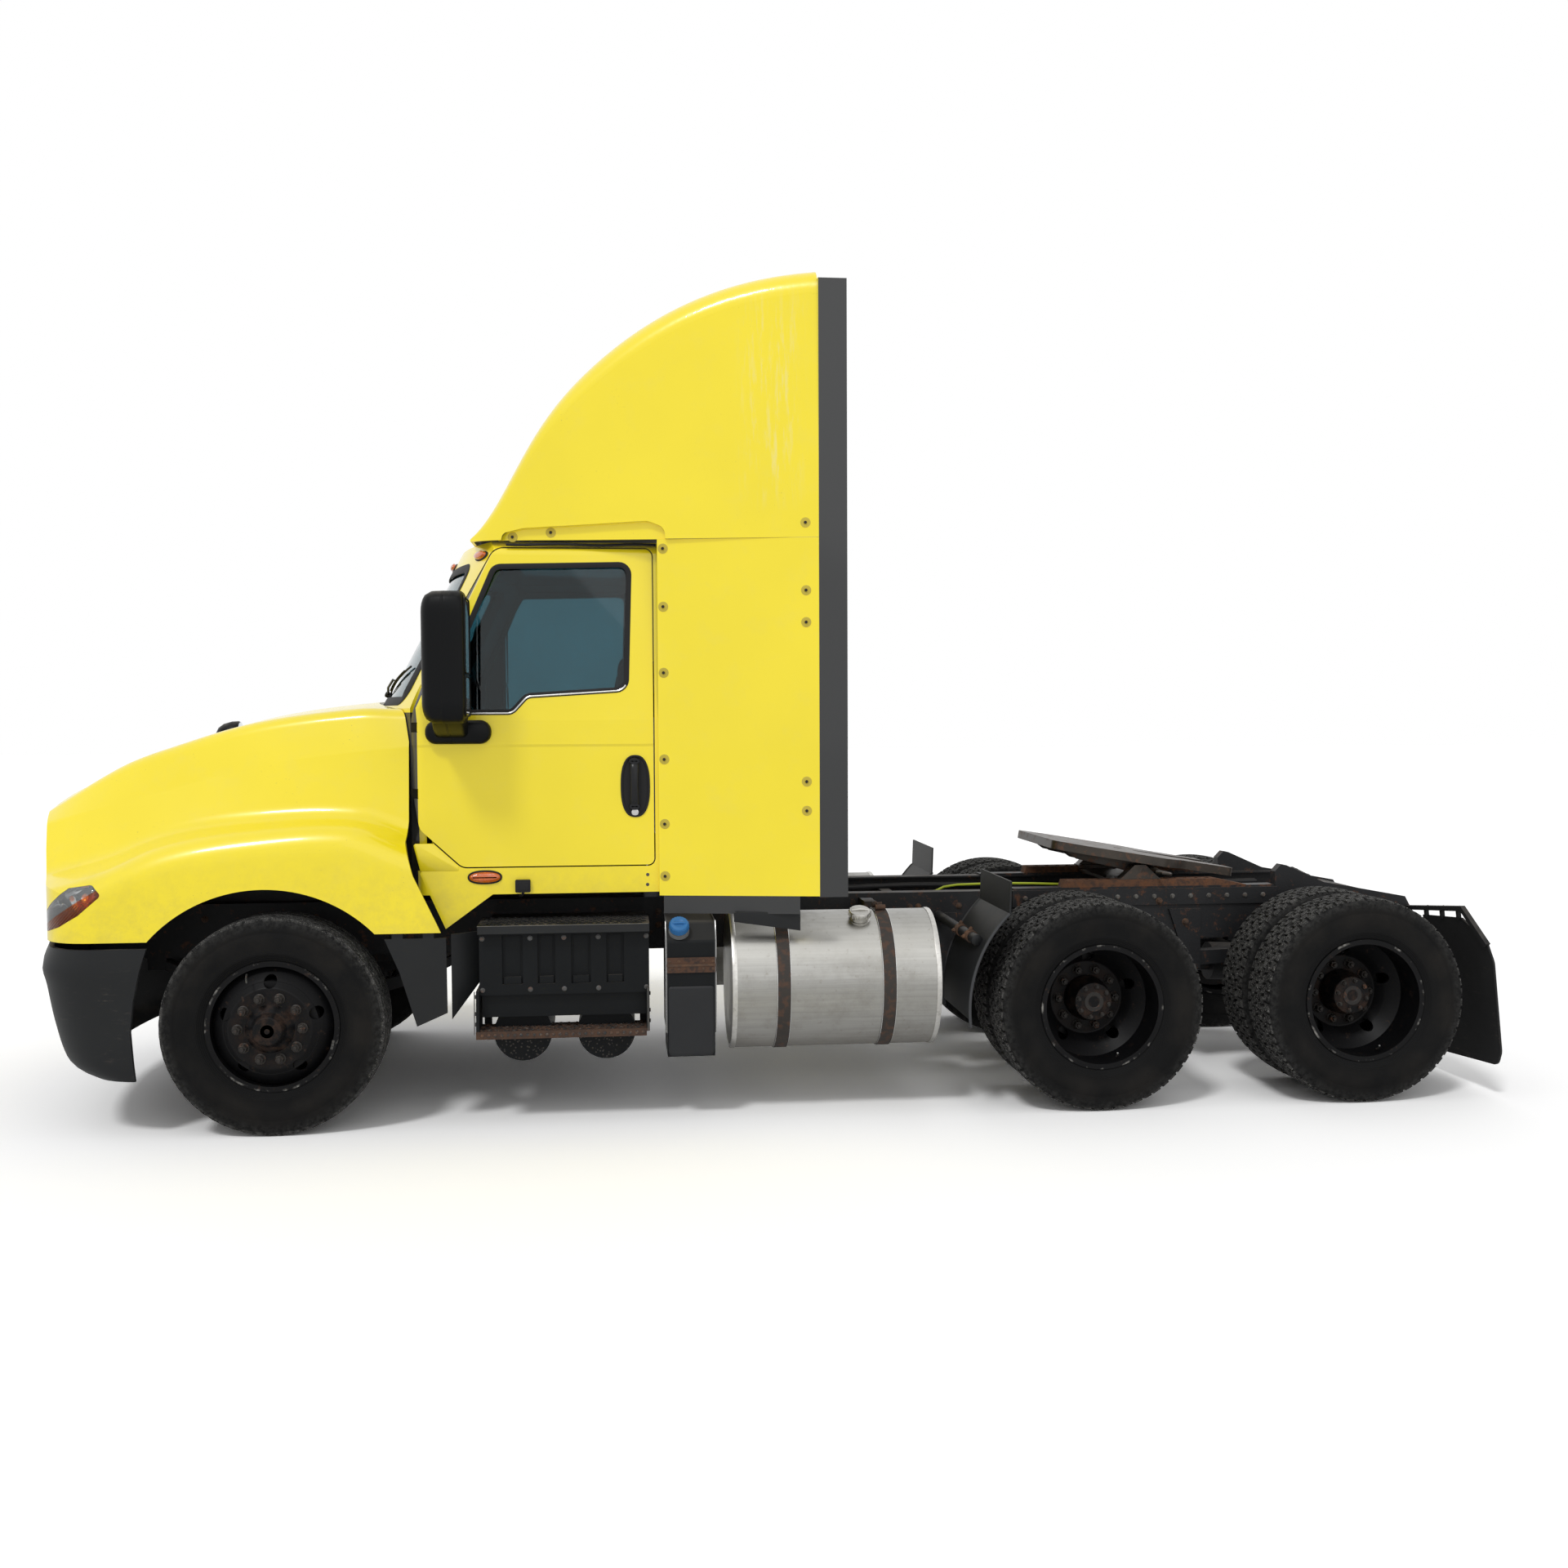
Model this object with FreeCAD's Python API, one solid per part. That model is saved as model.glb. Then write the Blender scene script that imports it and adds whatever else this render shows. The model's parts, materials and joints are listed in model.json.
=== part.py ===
"""A conventional day-cab truck tractor, three axles, with a full roof fairing.

Millimetres. +X is forward, +Y is the driver's side, +Z is up. While it is modelled, x = 0 is
the front axle; each piece is then moved so that the origin is the middle of the whole tractor
on the ground.
"""
import FreeCAD, Part
import math
from functools import lru_cache
import os

V = FreeCAD.Vector
os.makedirs("parts", exist_ok=True)

# ---------------------------------------------------------------- driving dimensions
# Running gear
TYRE_RADIUS = 504.0
TYRE_WIDTH = 280.0
TREAD_HALF = 118.0
BEAD_RADIUS = 286.0
LIP_RADIUS = 300.0
RIM_HALF = 121.0
RIM_WALL = 10.0
FRONT_LIP_Y = 1185.0
DRIVE_LIP_Y = 1215.0
WHEEL_OFFSET = 168.0
FIRST_DRIVE = 3875.0
TANDEM = 1321.0
AXLE_Z = TYRE_RADIUS
FIT = 0.1
SEAT_GAP = 0.3

# Frame
RAIL_OUTER = 430.0
RAIL_HEIGHT = 267.0
RAIL_FLANGE = 90.0
RAIL_WALL = 9.0
RAIL_TOP = 980.0
RAIL_FRONT = 1040.0
RAIL_REAR = -5834.0

# Bumper and hood
BUMPER_NOSE = 1250.0
BUMPER_HALF = 1190.0
BUMPER_TOP = 870.0
BUMPER_WALL = 22.0
NOSE_RADIUS = 3200.0
HOOD_NOSE = 1200.0
HOOD_HALF = 1180.0
HOOD_BOTTOM = 900.0
HOOD_WALL = 14.0
ARCH_X = 34.0
ARCH_Z = 447.0
ARCH_RADIUS = 683.0
HOOD_PIVOT_X = 1125.0
HOOD_PIVOT_Z = 965.0
HOOD_PIN = 10.0
HOOD_LUG = 24.0

# Cab
CAB_HALF = 1030.0
CAB_ROOF_HALF = 975.0
CAB_FLOOR = 1075.0
CAB_BELT = 1950.0
CAB_ROOF = 2735.0
CAB_REAR = -1830.0
CAB_WALL = 65.0
GLASS_PLAN_RADIUS = 2000.0
GLASS_BASE_X = -360.0
GLASS_LEAN = 381.0
GLASS_RISE = 720.0
DOOR_THICK = 60.0
DOOR_GAP = 6.0
DOOR_HINGE_X = -655.0
DOOR_HINGE_Y = 1005.0
DOOR_HINGE_ROWS = (1550.0, 1860.0)
HINGE_PIN = 7.0
HINGE_BUSH = 12.0
HINGE_HALF = 20.0
HINGE_RUN = 3.0
HINGE_SWING = 62.0

# Fairing and side extenders
FAIRING_BASE = 2736.0
FAIRING_REAR = -2510.0
FAIRING_WALL = 14.0
EXTENDER_FRONT = -1765.0
EXTENDER_BOTTOM = 1060.0
EXTENDER_HALF = 1205.0
TRIM_REAR = -2645.0

# Fifth wheel
PLATE_PIVOT_X = -4330.0
PLATE_PIVOT_Z = 1080.0
PLATE_TOP = 1160.0
PLATE_THICK = 45.0
PLATE_FRONT = 480.0
PLATE_REAR = 560.0
PLATE_HALF = 455.0
PLATE_TILT = 9.5
KINGPIN_RADIUS = 25.5
PLATE_PIN = 16.0
RACK_TOP = 1028.0

# Mud flaps set the rear end of the tractor
FLAP_REAR = -5905.0
FLAP_HANGER_X = -5805.0

CENTRE_X = (BUMPER_NOSE + FLAP_REAR) / 2


# ---------------------------------------------------------------- drawing helpers
def in_xz(a, b, level):
    return V(a, level, b)


def in_xy(a, b, level):
    return V(a, b, level)


def in_yz(a, b, level):
    return V(level, a, b)


def outline(points, plane, level):
    """Closed wire through (a, b) or (a, b, corner radius) points in one plane."""
    corners = []
    count = len(points)
    for i, point in enumerate(points):
        here = V(point[0], point[1], 0)
        radius = point[2] if len(point) > 2 else 0
        if radius <= 0:
            corners.append((here, None, here))
            continue
        before = V(points[i - 1][0], points[i - 1][1], 0) - here
        after = V(points[(i + 1) % count][0], points[(i + 1) % count][1], 0) - here
        half = before.getAngle(after) / 2
        before.normalize()
        after.normalize()
        cut = radius / math.tan(half)
        inward = before + after
        inward.normalize()
        middle = here + inward * (radius / math.sin(half) - radius)
        corners.append((here + before * cut, middle, here + after * cut))
    edges = []
    for i, (start, middle, end) in enumerate(corners):
        place = [plane(p.x, p.y, level) if p else None for p in (start, middle, end)]
        if middle:
            edges.append(Part.Arc(*place).toShape())
        following = corners[(i + 1) % count][0]
        if (following - end).Length > 1e-6:
            edges.append(Part.LineSegment(place[2], plane(following.x, following.y, level)).toShape())
    return Part.Wire(edges)


def slab_xz(points, y0, y1):
    return Part.Face(outline(points, in_xz, y0)).extrude(V(0, y1 - y0, 0))


def slab_xy(points, z0, z1):
    return Part.Face(outline(points, in_xy, z0)).extrude(V(0, 0, z1 - z0))


def slab_yz(points, x0, x1):
    return Part.Face(outline(points, in_yz, x0)).extrude(V(x1 - x0, 0, 0))


def box(x0, x1, y0, y1, z0, z1):
    return Part.makeBox(x1 - x0, y1 - y0, z1 - z0, V(x0, y0, z0))


def rod(start, end, radius):
    start, end = V(*start), V(*end)
    return Part.makeCylinder(radius, (end - start).Length, start, end - start)


def turned_y(profile, x, z):
    """Solid of revolution about the Y line through (x, z); profile is (y, radius) points."""
    wire = outline(profile, lambda y, r, level: V(level, y, z + r), x)
    return Part.Face(wire).revolve(V(x, 0, z), V(0, 1, 0), 360)


def mirrored(shape):
    return shape.mirror(V(0, 0, 0), V(0, 1, 0))


def fused(*shapes):
    whole = shapes[0]
    for shape in shapes[1:]:
        whole = whole.fuse(shape)
    return whole.removeSplitter()


def symmetric(half):
    """(a, b, radius) points of the +Y half, from low to high, closed over to the -Y half."""
    return half + [(-p[0],) + tuple(p[1:]) for p in reversed(half) if p[0] != 0]


def nose_wire(nose_x, nose_radius, half, corner, back_x, z):
    """Level outline with a wide front arc, round corners, straight sides and a square back."""
    front = V(nose_x - nose_radius, 0, z)
    corner_y = half - corner
    centre = V(front.x + math.sqrt((nose_radius - corner) ** 2 - corner_y ** 2), corner_y, z)
    spoke = centre - front
    spoke.normalize()
    turn = (math.atan2(spoke.y, spoke.x) + math.pi / 2) / 2
    start = front + spoke * nose_radius
    middle = centre + V(math.cos(turn), math.sin(turn), 0) * corner
    side = V(centre.x, half, z)
    flip = lambda p: V(p.x, -p.y, p.z)
    back = V(back_x, half, z)
    return Part.Wire([
        Part.Arc(flip(start), V(nose_x, 0, z), start).toShape(),
        Part.Arc(start, middle, side).toShape(),
        Part.LineSegment(side, back).toShape(),
        Part.LineSegment(back, flip(back)).toShape(),
        Part.LineSegment(flip(back), flip(side)).toShape(),
        Part.Arc(flip(side), flip(middle), flip(start)).toShape(),
    ])


pieces = {}


def add(name, *solids):
    """Stores a node: solids that stay apart, moved to the shared origin."""
    shape = solids[0] if len(solids) == 1 else Part.makeCompound(list(solids))
    shape = shape.copy()
    shape.translate(V(-CENTRE_X, 0, 0))
    pieces[name] = shape


# ---------------------------------------------------------------- wheels
def tyre(x, y):
    bead = RIM_HALF - RIM_WALL - SEAT_GAP
    side = TYRE_WIDTH / 2
    bore = BEAD_RADIUS + SEAT_GAP
    profile = [(y - bead, bore), (y - bead, LIP_RADIUS + 4), (y - side, 400, 60), (y - side + 8, 478, 12),
               (y - TREAD_HALF, TYRE_RADIUS - 4), (y, TYRE_RADIUS), (y + TREAD_HALF, TYRE_RADIUS - 4),
               (y + side - 8, 478, 12), (y + side, 400, 60), (y + bead, LIP_RADIUS + 4), (y + bead, bore)]
    return turned_y(profile, x, AXLE_Z)


def disc_wheel(x, y, out):
    """Steel disc wheel with its rim centred on y; out is +1 or -1, the side its disc bulges to."""
    face = y + out * WHEEL_OFFSET
    barrel = turned_y([
        (y - RIM_HALF, LIP_RADIUS), (y - RIM_HALF + RIM_WALL, LIP_RADIUS),
        (y - RIM_HALF + RIM_WALL, BEAD_RADIUS), (y + RIM_HALF - RIM_WALL, BEAD_RADIUS),
        (y + RIM_HALF - RIM_WALL, LIP_RADIUS), (y + RIM_HALF, LIP_RADIUS),
        (y + RIM_HALF, BEAD_RADIUS - RIM_WALL), (y - RIM_HALF, BEAD_RADIUS - RIM_WALL)], x, AXLE_Z)
    disc = turned_y([
        (y + out * 60, BEAD_RADIUS - RIM_WALL / 2), (y + out * 72, BEAD_RADIUS - RIM_WALL / 2),
        (y + out * 130, 225, 40), (face, 185, 12), (face, 111),
        (face - out * 11, 111), (face - out * 11, 180, 12), (y + out * 118, 217, 40)], x, AXLE_Z)
    wheel = fused(barrel, disc)
    holes = []
    for k in range(5):
        turn = math.radians(72 * k + 18)
        spot = V(x + 212 * math.cos(turn), 0, AXLE_Z + 212 * math.sin(turn))
        holes.append(Part.makeCylinder(29, 90, V(spot.x, y + out * 125 - 45, spot.z), V(0, 1, 0)))
    return wheel.cut(Part.makeCompound(holes))


def nuts(x, face, out, height):
    studs = []
    for k in range(10):
        turn = math.radians(36 * k)
        spot = V(x + 143 * math.cos(turn), face, AXLE_Z + 143 * math.sin(turn))
        studs.append(Part.makeCylinder(16, height, spot, V(0, out, 0)))
    return studs


SPINDLE_RADIUS = 38.0
FRONT_TYRE_Y = FRONT_LIP_Y - RIM_HALF
KINGPIN_Y = 880.0
KINGPIN_PIN = 22.0
HUB_START = 968.0
SPINDLE_END = FRONT_TYRE_Y + 120


def front_wheel(side):
    name = "left" if side > 0 else "right"
    face = FRONT_TYRE_Y + WHEEL_OFFSET
    hub = turned_y([
        (HUB_START, SPINDLE_RADIUS + FIT), (SPINDLE_END + 3, SPINDLE_RADIUS + FIT), (SPINDLE_END + 3, 0),
        (face + 62, 0), (face + 62, 62, 8), (face + 45, 72, 8), (face + 30, 80), (face, 110), (face, 170),
        (face - 11, 170), (face - 25, 170), (face - 25, 214), (HUB_START + 6, 214), (HUB_START + 6, 200),
        (face - 45, 200), (face - 45, 95), (HUB_START, 80)], 0, AXLE_Z)
    wheel = fused(disc_wheel(0, FRONT_TYRE_Y, 1), hub, *nuts(0, face, 1, 30))
    rubber = tyre(0, FRONT_TYRE_Y)
    if side < 0:
        wheel, rubber = mirrored(wheel), mirrored(rubber)
    add("rim_front_" + name, wheel)
    add("tyre_front_" + name, rubber)


DRIVE_OUTER_Y = DRIVE_LIP_Y - RIM_HALF
DRIVE_INNER_Y = DRIVE_OUTER_Y - 2 * WHEEL_OFFSET
DRIVE_MID_Y = DRIVE_OUTER_Y - WHEEL_OFFSET
DRIVE_SPINDLE = 50.0
BRAKE_Y = 630.0


def drive_wheel(order, side):
    x = -FIRST_DRIVE - (order - 1) * TANDEM
    name = "drive%d_%s" % (order, "left" if side > 0 else "right")
    hub = turned_y([
        (BRAKE_Y + 55, DRIVE_SPINDLE + FIT), (DRIVE_MID_Y + 118, DRIVE_SPINDLE + FIT), (DRIVE_MID_Y + 118, 0),
        (DRIVE_MID_Y + 150, 0), (DRIVE_MID_Y + 150, 40, 4), (DRIVE_MID_Y + 142, 92, 4),
        (DRIVE_MID_Y + 118, 96), (DRIVE_MID_Y + 60, 108), (DRIVE_MID_Y + 11, 111), (DRIVE_MID_Y + 11, 130),
        (DRIVE_MID_Y - 30, 130), (DRIVE_MID_Y - 30, 170), (DRIVE_MID_Y - 11, 170), (DRIVE_MID_Y - 11, 214),
        (BRAKE_Y + 20, 214), (BRAKE_Y + 20, 200), (DRIVE_MID_Y - 45, 200), (DRIVE_MID_Y - 45, 95),
        (BRAKE_Y + 55, 80)], x, AXLE_Z)
    wheel = fused(disc_wheel(x, DRIVE_OUTER_Y, -1), disc_wheel(x, DRIVE_INNER_Y, 1), hub,
                  *nuts(x, DRIVE_MID_Y + 11, 1, 32))
    tyres = [tyre(x, DRIVE_OUTER_Y), tyre(x, DRIVE_INNER_Y)]
    if side < 0:
        wheel, tyres = mirrored(wheel), [mirrored(t) for t in tyres]
    add("rim_" + name, wheel)
    add("tyre_" + name, *tyres)


# ---------------------------------------------------------------- steering axle
AXLE_HALF_X = 40.0
AXLE_DROP = 375.0
SPRING_Y = 385.0
ARM_Z0 = 388.0
YOKE_LOW = 430.0
YOKE_HIGH = 578.0
YOKE_ARM = 42.0
TIE_X = -200.0
TIE_Z = 358.0
STUD = 9.0


def front_axle():
    half = [(0, AXLE_DROP), (620, AXLE_DROP), (790, YOKE_LOW), (KINGPIN_Y, YOKE_LOW), (KINGPIN_Y, YOKE_HIGH),
            (830, YOKE_HIGH), (620, AXLE_DROP + 100), (0, AXLE_DROP + 100)]
    side = slab_yz(half, -AXLE_HALF_X, AXLE_HALF_X)
    eye = rod((0, KINGPIN_Y, YOKE_LOW), (0, KINGPIN_Y, YOKE_HIGH), AXLE_HALF_X)
    pin = rod((0, KINGPIN_Y, YOKE_LOW - YOKE_ARM - 4), (0, KINGPIN_Y, YOKE_HIGH + YOKE_ARM + 4), KINGPIN_PIN)
    left = fused(side, eye, pin)
    add("front_axle", fused(left, mirrored(left)))


def knuckle(side):
    """Yoke round the axle's end, spindle, brake plate and the arm that holds the tie rod."""
    name = "left" if side > 0 else "right"
    parts = []
    for z0 in (YOKE_LOW - SEAT_GAP - YOKE_ARM, YOKE_HIGH + SEAT_GAP):
        arm = box(-AXLE_HALF_X, AXLE_HALF_X, KINGPIN_Y, 965, z0, z0 + YOKE_ARM)
        parts.append(arm.fuse(rod((0, KINGPIN_Y, z0), (0, KINGPIN_Y, z0 + YOKE_ARM), AXLE_HALF_X)))
    low = YOKE_LOW - SEAT_GAP - YOKE_ARM
    high = YOKE_HIGH + SEAT_GAP + YOKE_ARM
    parts.append(box(-AXLE_HALF_X, AXLE_HALF_X, 926, 965, low, high))
    parts.append(rod((0, 952, AXLE_Z), (0, 962, AXLE_Z), 198))
    parts.append(rod((0, 960, AXLE_Z), (0, SPINDLE_END, AXLE_Z), SPINDLE_RADIUS))
    parts.append(box(TIE_X, 0, KINGPIN_Y - 18, KINGPIN_Y + 18, low, low + YOKE_ARM))
    parts.append(rod((TIE_X, KINGPIN_Y, low), (TIE_X, KINGPIN_Y, low + YOKE_ARM), 28))
    body = fused(*parts)
    body = body.cut(rod((0, KINGPIN_Y, low - 10), (0, KINGPIN_Y, low + YOKE_ARM + 1), KINGPIN_PIN + FIT))
    body = body.cut(rod((0, KINGPIN_Y, YOKE_HIGH), (0, KINGPIN_Y, high + 10), KINGPIN_PIN + FIT))
    stud = STUD + (FIT if side > 0 else 5 * FIT)
    body = body.cut(rod((TIE_X, KINGPIN_Y, low - 1), (TIE_X, KINGPIN_Y, low + YOKE_ARM + 1), stud))
    add("knuckle_" + name, body if side > 0 else mirrored(body))


def tie_rod():
    low = YOKE_LOW - SEAT_GAP - YOKE_ARM
    parts = [rod((TIE_X, -KINGPIN_Y, TIE_Z), (TIE_X, KINGPIN_Y, TIE_Z), 19)]
    for y in (-KINGPIN_Y, KINGPIN_Y):
        parts.append(rod((TIE_X, y, TIE_Z - 24), (TIE_X, y, low - SEAT_GAP), 26))
        parts.append(rod((TIE_X, y, low - 2), (TIE_X, y, low + YOKE_ARM + 6), STUD))
    add("tie_rod", fused(*parts))


def front_springs():
    """Leaf pack under each rail with its two hangers."""
    rail_low = RAIL_TOP - RAIL_HEIGHT
    eye_z, seat_z, thick = 665.0, AXLE_DROP + 100, 45.0
    sets = []
    arch = Part.Wire([
        Part.Arc(V(700, SPRING_Y - 40, eye_z), V(0, SPRING_Y - 40, seat_z), V(-760, SPRING_Y - 40, eye_z)).toShape(),
        Part.LineSegment(V(-760, SPRING_Y - 40, eye_z), V(-760, SPRING_Y - 40, eye_z + thick)).toShape(),
        Part.Arc(V(-760, SPRING_Y - 40, eye_z + thick), V(0, SPRING_Y - 40, seat_z + thick + 22),
                 V(700, SPRING_Y - 40, eye_z + thick)).toShape(),
        Part.LineSegment(V(700, SPRING_Y - 40, eye_z + thick), V(700, SPRING_Y - 40, eye_z)).toShape()])
    leaves = Part.Face(arch).extrude(V(0, 80, 0))
    front = box(670, 760, SPRING_Y - 45, SPRING_Y + 45, eye_z - 10, rail_low)
    rear = box(-820, -730, SPRING_Y - 45, SPRING_Y + 45, eye_z - 10, rail_low)
    clamp = box(-70, 70, SPRING_Y - 48, SPRING_Y + 48, seat_z, seat_z + thick + 45)
    left = fused(leaves, front, rear, clamp).cut(box(-200, 200, 0, 600, 300, seat_z))
    add("front_springs", left, mirrored(left))


# ---------------------------------------------------------------- drive axles and suspension
def drive_axle(order):
    x = -FIRST_DRIVE - (order - 1) * TANDEM
    tube = rod((x, 0, AXLE_Z), (x, BRAKE_Y, AXLE_Z), 68)
    spindle = rod((x, BRAKE_Y - 10, AXLE_Z), (x, DRIVE_MID_Y + 115, AXLE_Z), DRIVE_SPINDLE)
    plate = rod((x, BRAKE_Y, AXLE_Z), (x, BRAKE_Y + 14, AXLE_Z), 196)
    bowl = turned_y([(-130, 0), (-130, 150, 30), (-60, 205, 60), (60, 205, 60), (130, 150, 30), (130, 0)], x, AXLE_Z)
    carrier = rod((x, 0, AXLE_Z), (x + 330, 0, AXLE_Z + 12), 105)
    left = fused(tube, spindle, plate)
    add("drive_axle_%d" % order, fused(left, mirrored(left), bowl, carrier))


def rear_suspension():
    """For each axle end: a hanger, a trailing beam over the axle and an air spring under the rail."""
    rail_low = RAIL_TOP - RAIL_HEIGHT
    solids = []
    for order in (1, 2):
        x = -FIRST_DRIVE - (order - 1) * TANDEM
        hanger = box(x + 545, x + 615, SPRING_Y - 50, RAIL_OUTER, 545, rail_low)
        cheek = slab_xz([(x + 542, 550), (x + 542, 870), (x + 716, 870), (x + 660, 705), (x + 612, 550)],
                        RAIL_OUTER, RAIL_OUTER + 16)
        seat = box(x - 70, x + 70, SPRING_Y - 45, SPRING_Y + 45, AXLE_Z + 68, AXLE_Z + 130)
        beam = slab_xz([(x + 600, 560), (x + 600, 640), (x, 655), (x - 400, 560), (x - 400, 520), (x, 600)],
                       SPRING_Y - 40, SPRING_Y + 40)
        bag = rod((x - 330, SPRING_Y, 540), (x - 330, SPRING_Y, rail_low), 125)
        left = fused(hanger, cheek, seat, beam, bag)
        tube = rod((x, 0, AXLE_Z), (x, 800, AXLE_Z), 68)
        left = left.cut(tube)
        solids += [left, mirrored(left)]
    add("rear_suspension", *solids)


def driveshaft():
    first = -FIRST_DRIVE + 330
    front = rod((-1700, 0, 760), (first, 0, AXLE_Z + 12), 52)
    back = rod((-FIRST_DRIVE - 205 + 10, 0, AXLE_Z), (-FIRST_DRIVE - TANDEM + 330, 0, AXLE_Z + 12), 52)
    cut1 = turned_y([(-130, 0), (-130, 150, 30), (-60, 205, 60), (60, 205, 60), (130, 150, 30), (130, 0)],
                    -FIRST_DRIVE, AXLE_Z)
    for x in (-FIRST_DRIVE, -FIRST_DRIVE - TANDEM):
        nose = rod((x, 0, AXLE_Z), (x + 330, 0, AXLE_Z + 12), 105)
        front = front.cut(nose)
        back = back.cut(nose)
    back = back.cut(cut1)
    front = front.cut(box(-1705, -1690, -200, 200, 500, 1000))
    add("driveshaft", front, back)


# ---------------------------------------------------------------- frame, engine, radiator
def rails():
    low = RAIL_TOP - RAIL_HEIGHT
    inner = RAIL_OUTER - RAIL_FLANGE
    web = RAIL_OUTER - RAIL_WALL
    channel = slab_yz([(RAIL_OUTER, low), (RAIL_OUTER, RAIL_TOP), (inner, RAIL_TOP), (inner, RAIL_TOP - RAIL_WALL),
                       (web, RAIL_TOP - RAIL_WALL), (web, low + RAIL_WALL),
                       (inner, low + RAIL_WALL), (inner, low)], RAIL_REAR, RAIL_FRONT)
    channel = channel.cut(slab_xz([(-5450, RAIL_TOP), (-5806, 914), (RAIL_REAR, 862), (-6000, 862), (-6000, 1100),
                                   (-5450, 1100)], 0, 500))
    # Pick-up ramp at the tail, and the angle bolted on under the sliding fifth wheel
    ramp = slab_xz([(-5075, RAIL_TOP), (-5070, 1060), (-5106, 1097), (-5135, 1092), (-5345, 998), (-5450, RAIL_TOP)],
                   RAIL_OUTER - 60, RAIL_OUTER)
    angle = box(-5082, -3631, RAIL_OUTER, RAIL_OUTER + 12, 893, RAIL_TOP)
    # Ear on the front end with the pin that the hood turns on
    ear = box(RAIL_FRONT - 80, HOOD_PIVOT_X, web - HOOD_LUG, web, HOOD_PIVOT_Z - 22, HOOD_PIVOT_Z + 22)
    eye = rod((HOOD_PIVOT_X, web - HOOD_LUG, HOOD_PIVOT_Z), (HOOD_PIVOT_X, web, HOOD_PIVOT_Z), 22)
    pin = rod((HOOD_PIVOT_X, web - 2 * HOOD_LUG - 8, HOOD_PIVOT_Z), (HOOD_PIVOT_X, web, HOOD_PIVOT_Z), HOOD_PIN)
    left = fused(channel, ramp, angle, ear, eye, pin)
    add("frame_rail_left", left)
    add("frame_rail_right", mirrored(left))


CROSS_FRONT = -1760.0
CROSS_STEP = 655.0


def crossmembers():
    web = RAIL_OUTER - RAIL_WALL
    members = []
    for k in range(7):
        x = CROSS_FRONT - k * CROSS_STEP
        members.append(box(x - 30, x + 30, -web, web, RAIL_TOP - 160, RAIL_TOP - 60))
    add("crossmembers", *members)


ENGINE_FRONT = 700.0
ENGINE_REAR = -300.0


def engine():
    web = RAIL_OUTER - RAIL_WALL
    block = box(ENGINE_REAR, ENGINE_FRONT, -320, 320, 640, 1600)
    gearbox = box(-1690, ENGINE_REAR, -210, 210, 640, 1020)
    mounts = box(150, 260, -web, web, RAIL_TOP - 200, RAIL_TOP - 60)
    shroud = box(ENGINE_FRONT, 800, -300, 300, RAIL_TOP + 60, 1500)
    core = box(800, 920, -480, 480, RAIL_TOP, 1530)
    add("engine", fused(block, gearbox, mounts, shroud, core))


# ---------------------------------------------------------------- bumper and hood
# z, setback of the nose behind BUMPER_NOSE, narrowing of each side
BUMPER_ROWS = [
    (262, 260, 30),
    (300, 165, 22),
    (360, 105, 15),
    (500, 50, 8),
    (770, 4, 0),
    (820, 0, 0),
    (BUMPER_TOP, 50, 6),
]


def bumper_body(inset):
    wires = []
    for i, (z, setback, narrow) in enumerate(BUMPER_ROWS):
        if inset and i == 0:
            z -= 5
        if inset and i == len(BUMPER_ROWS) - 1:
            z += 5
        wires.append(nose_wire(BUMPER_NOSE - setback - inset, NOSE_RADIUS - inset, BUMPER_HALF - narrow - inset,
                               260 - inset, 300, z))
    return Part.makeLoft(wires, True, True)


def bumper():
    shell = bumper_body(0).cut(bumper_body(BUMPER_WALL))
    behind = slab_xz([(537, 900), (579, 763), (609, 627), (625, 490), (610, 250), (200, 250), (200, 900)], -1300, 1300)
    shell = shell.cut(behind)
    bracket = box(RAIL_FRONT, 1300, RAIL_OUTER - 60, RAIL_OUTER, 620, 850).common(bumper_body(BUMPER_WALL))
    bracket = bracket.fuse(box(RAIL_FRONT - 120, RAIL_FRONT, RAIL_OUTER, RAIL_OUTER + 12, 790, 850))
    web = box(RAIL_FRONT, RAIL_FRONT + 12, RAIL_OUTER - 60, RAIL_OUTER + 12, 700, 850)
    left = fused(bracket, web)
    add("bumper", fused(shell, left, mirrored(left)))


# x, top height, shoulder half width, crease half width, crease height, fender top height
HOOD_ROWS = [
    (1400, 1470, 560, 680, 1330, 1130),
    (850, 1668, 720, 800, 1490, 1230),
    (300, 1842, 830, 890, 1640, 1310),
    (-200, 1978, 890, 950, 1735, 1350),
    (-780, 1985, 910, 980, 1780, 1370),
]


@lru_cache(None)
def hood_body(inset):
    wires = []
    for x, top, shoulder, crease, crease_z, fender_z in HOOD_ROWS:
        t = inset
        half = [(HOOD_HALF - t, 700 - t), (HOOD_HALF - t, fender_z - 190 - t, 60), (HOOD_HALF - 70 - t, fender_z - t, 60),
                (crease - t, crease_z - t, 20), (shoulder - t, top - 45 - t, 60), (0, top - t, 5000)]
        wires.append(outline(symmetric(half), in_yz, x))
    body = Part.makeLoft(wires, True, False)
    plan = Part.Face(nose_wire(HOOD_NOSE - t, NOSE_RADIUS - t, HOOD_HALF - t, 250 - t, -900, 600))
    body = body.common(plan.extrude(V(0, 0, 1600)))
    nose = slab_xz([(HOOD_NOSE + 10 - t, 600), (HOOD_NOSE - 12 - t, 1480 - t, 120), (900, 1668 - t, 300),
                    (600, 2300), (-900, 2300), (-900, 600)], -1300, 1300)
    return body.common(nose)


def hood_rear():
    """What lies behind the hood's rear edge."""
    return slab_xz([(-600, 2300), (-600, 1420), (-592, 1330), (-635, 1180), (-757, 920), (-757, 300),
                    (-1500, 300), (-1500, 2300)], -1300, 1300)


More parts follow.
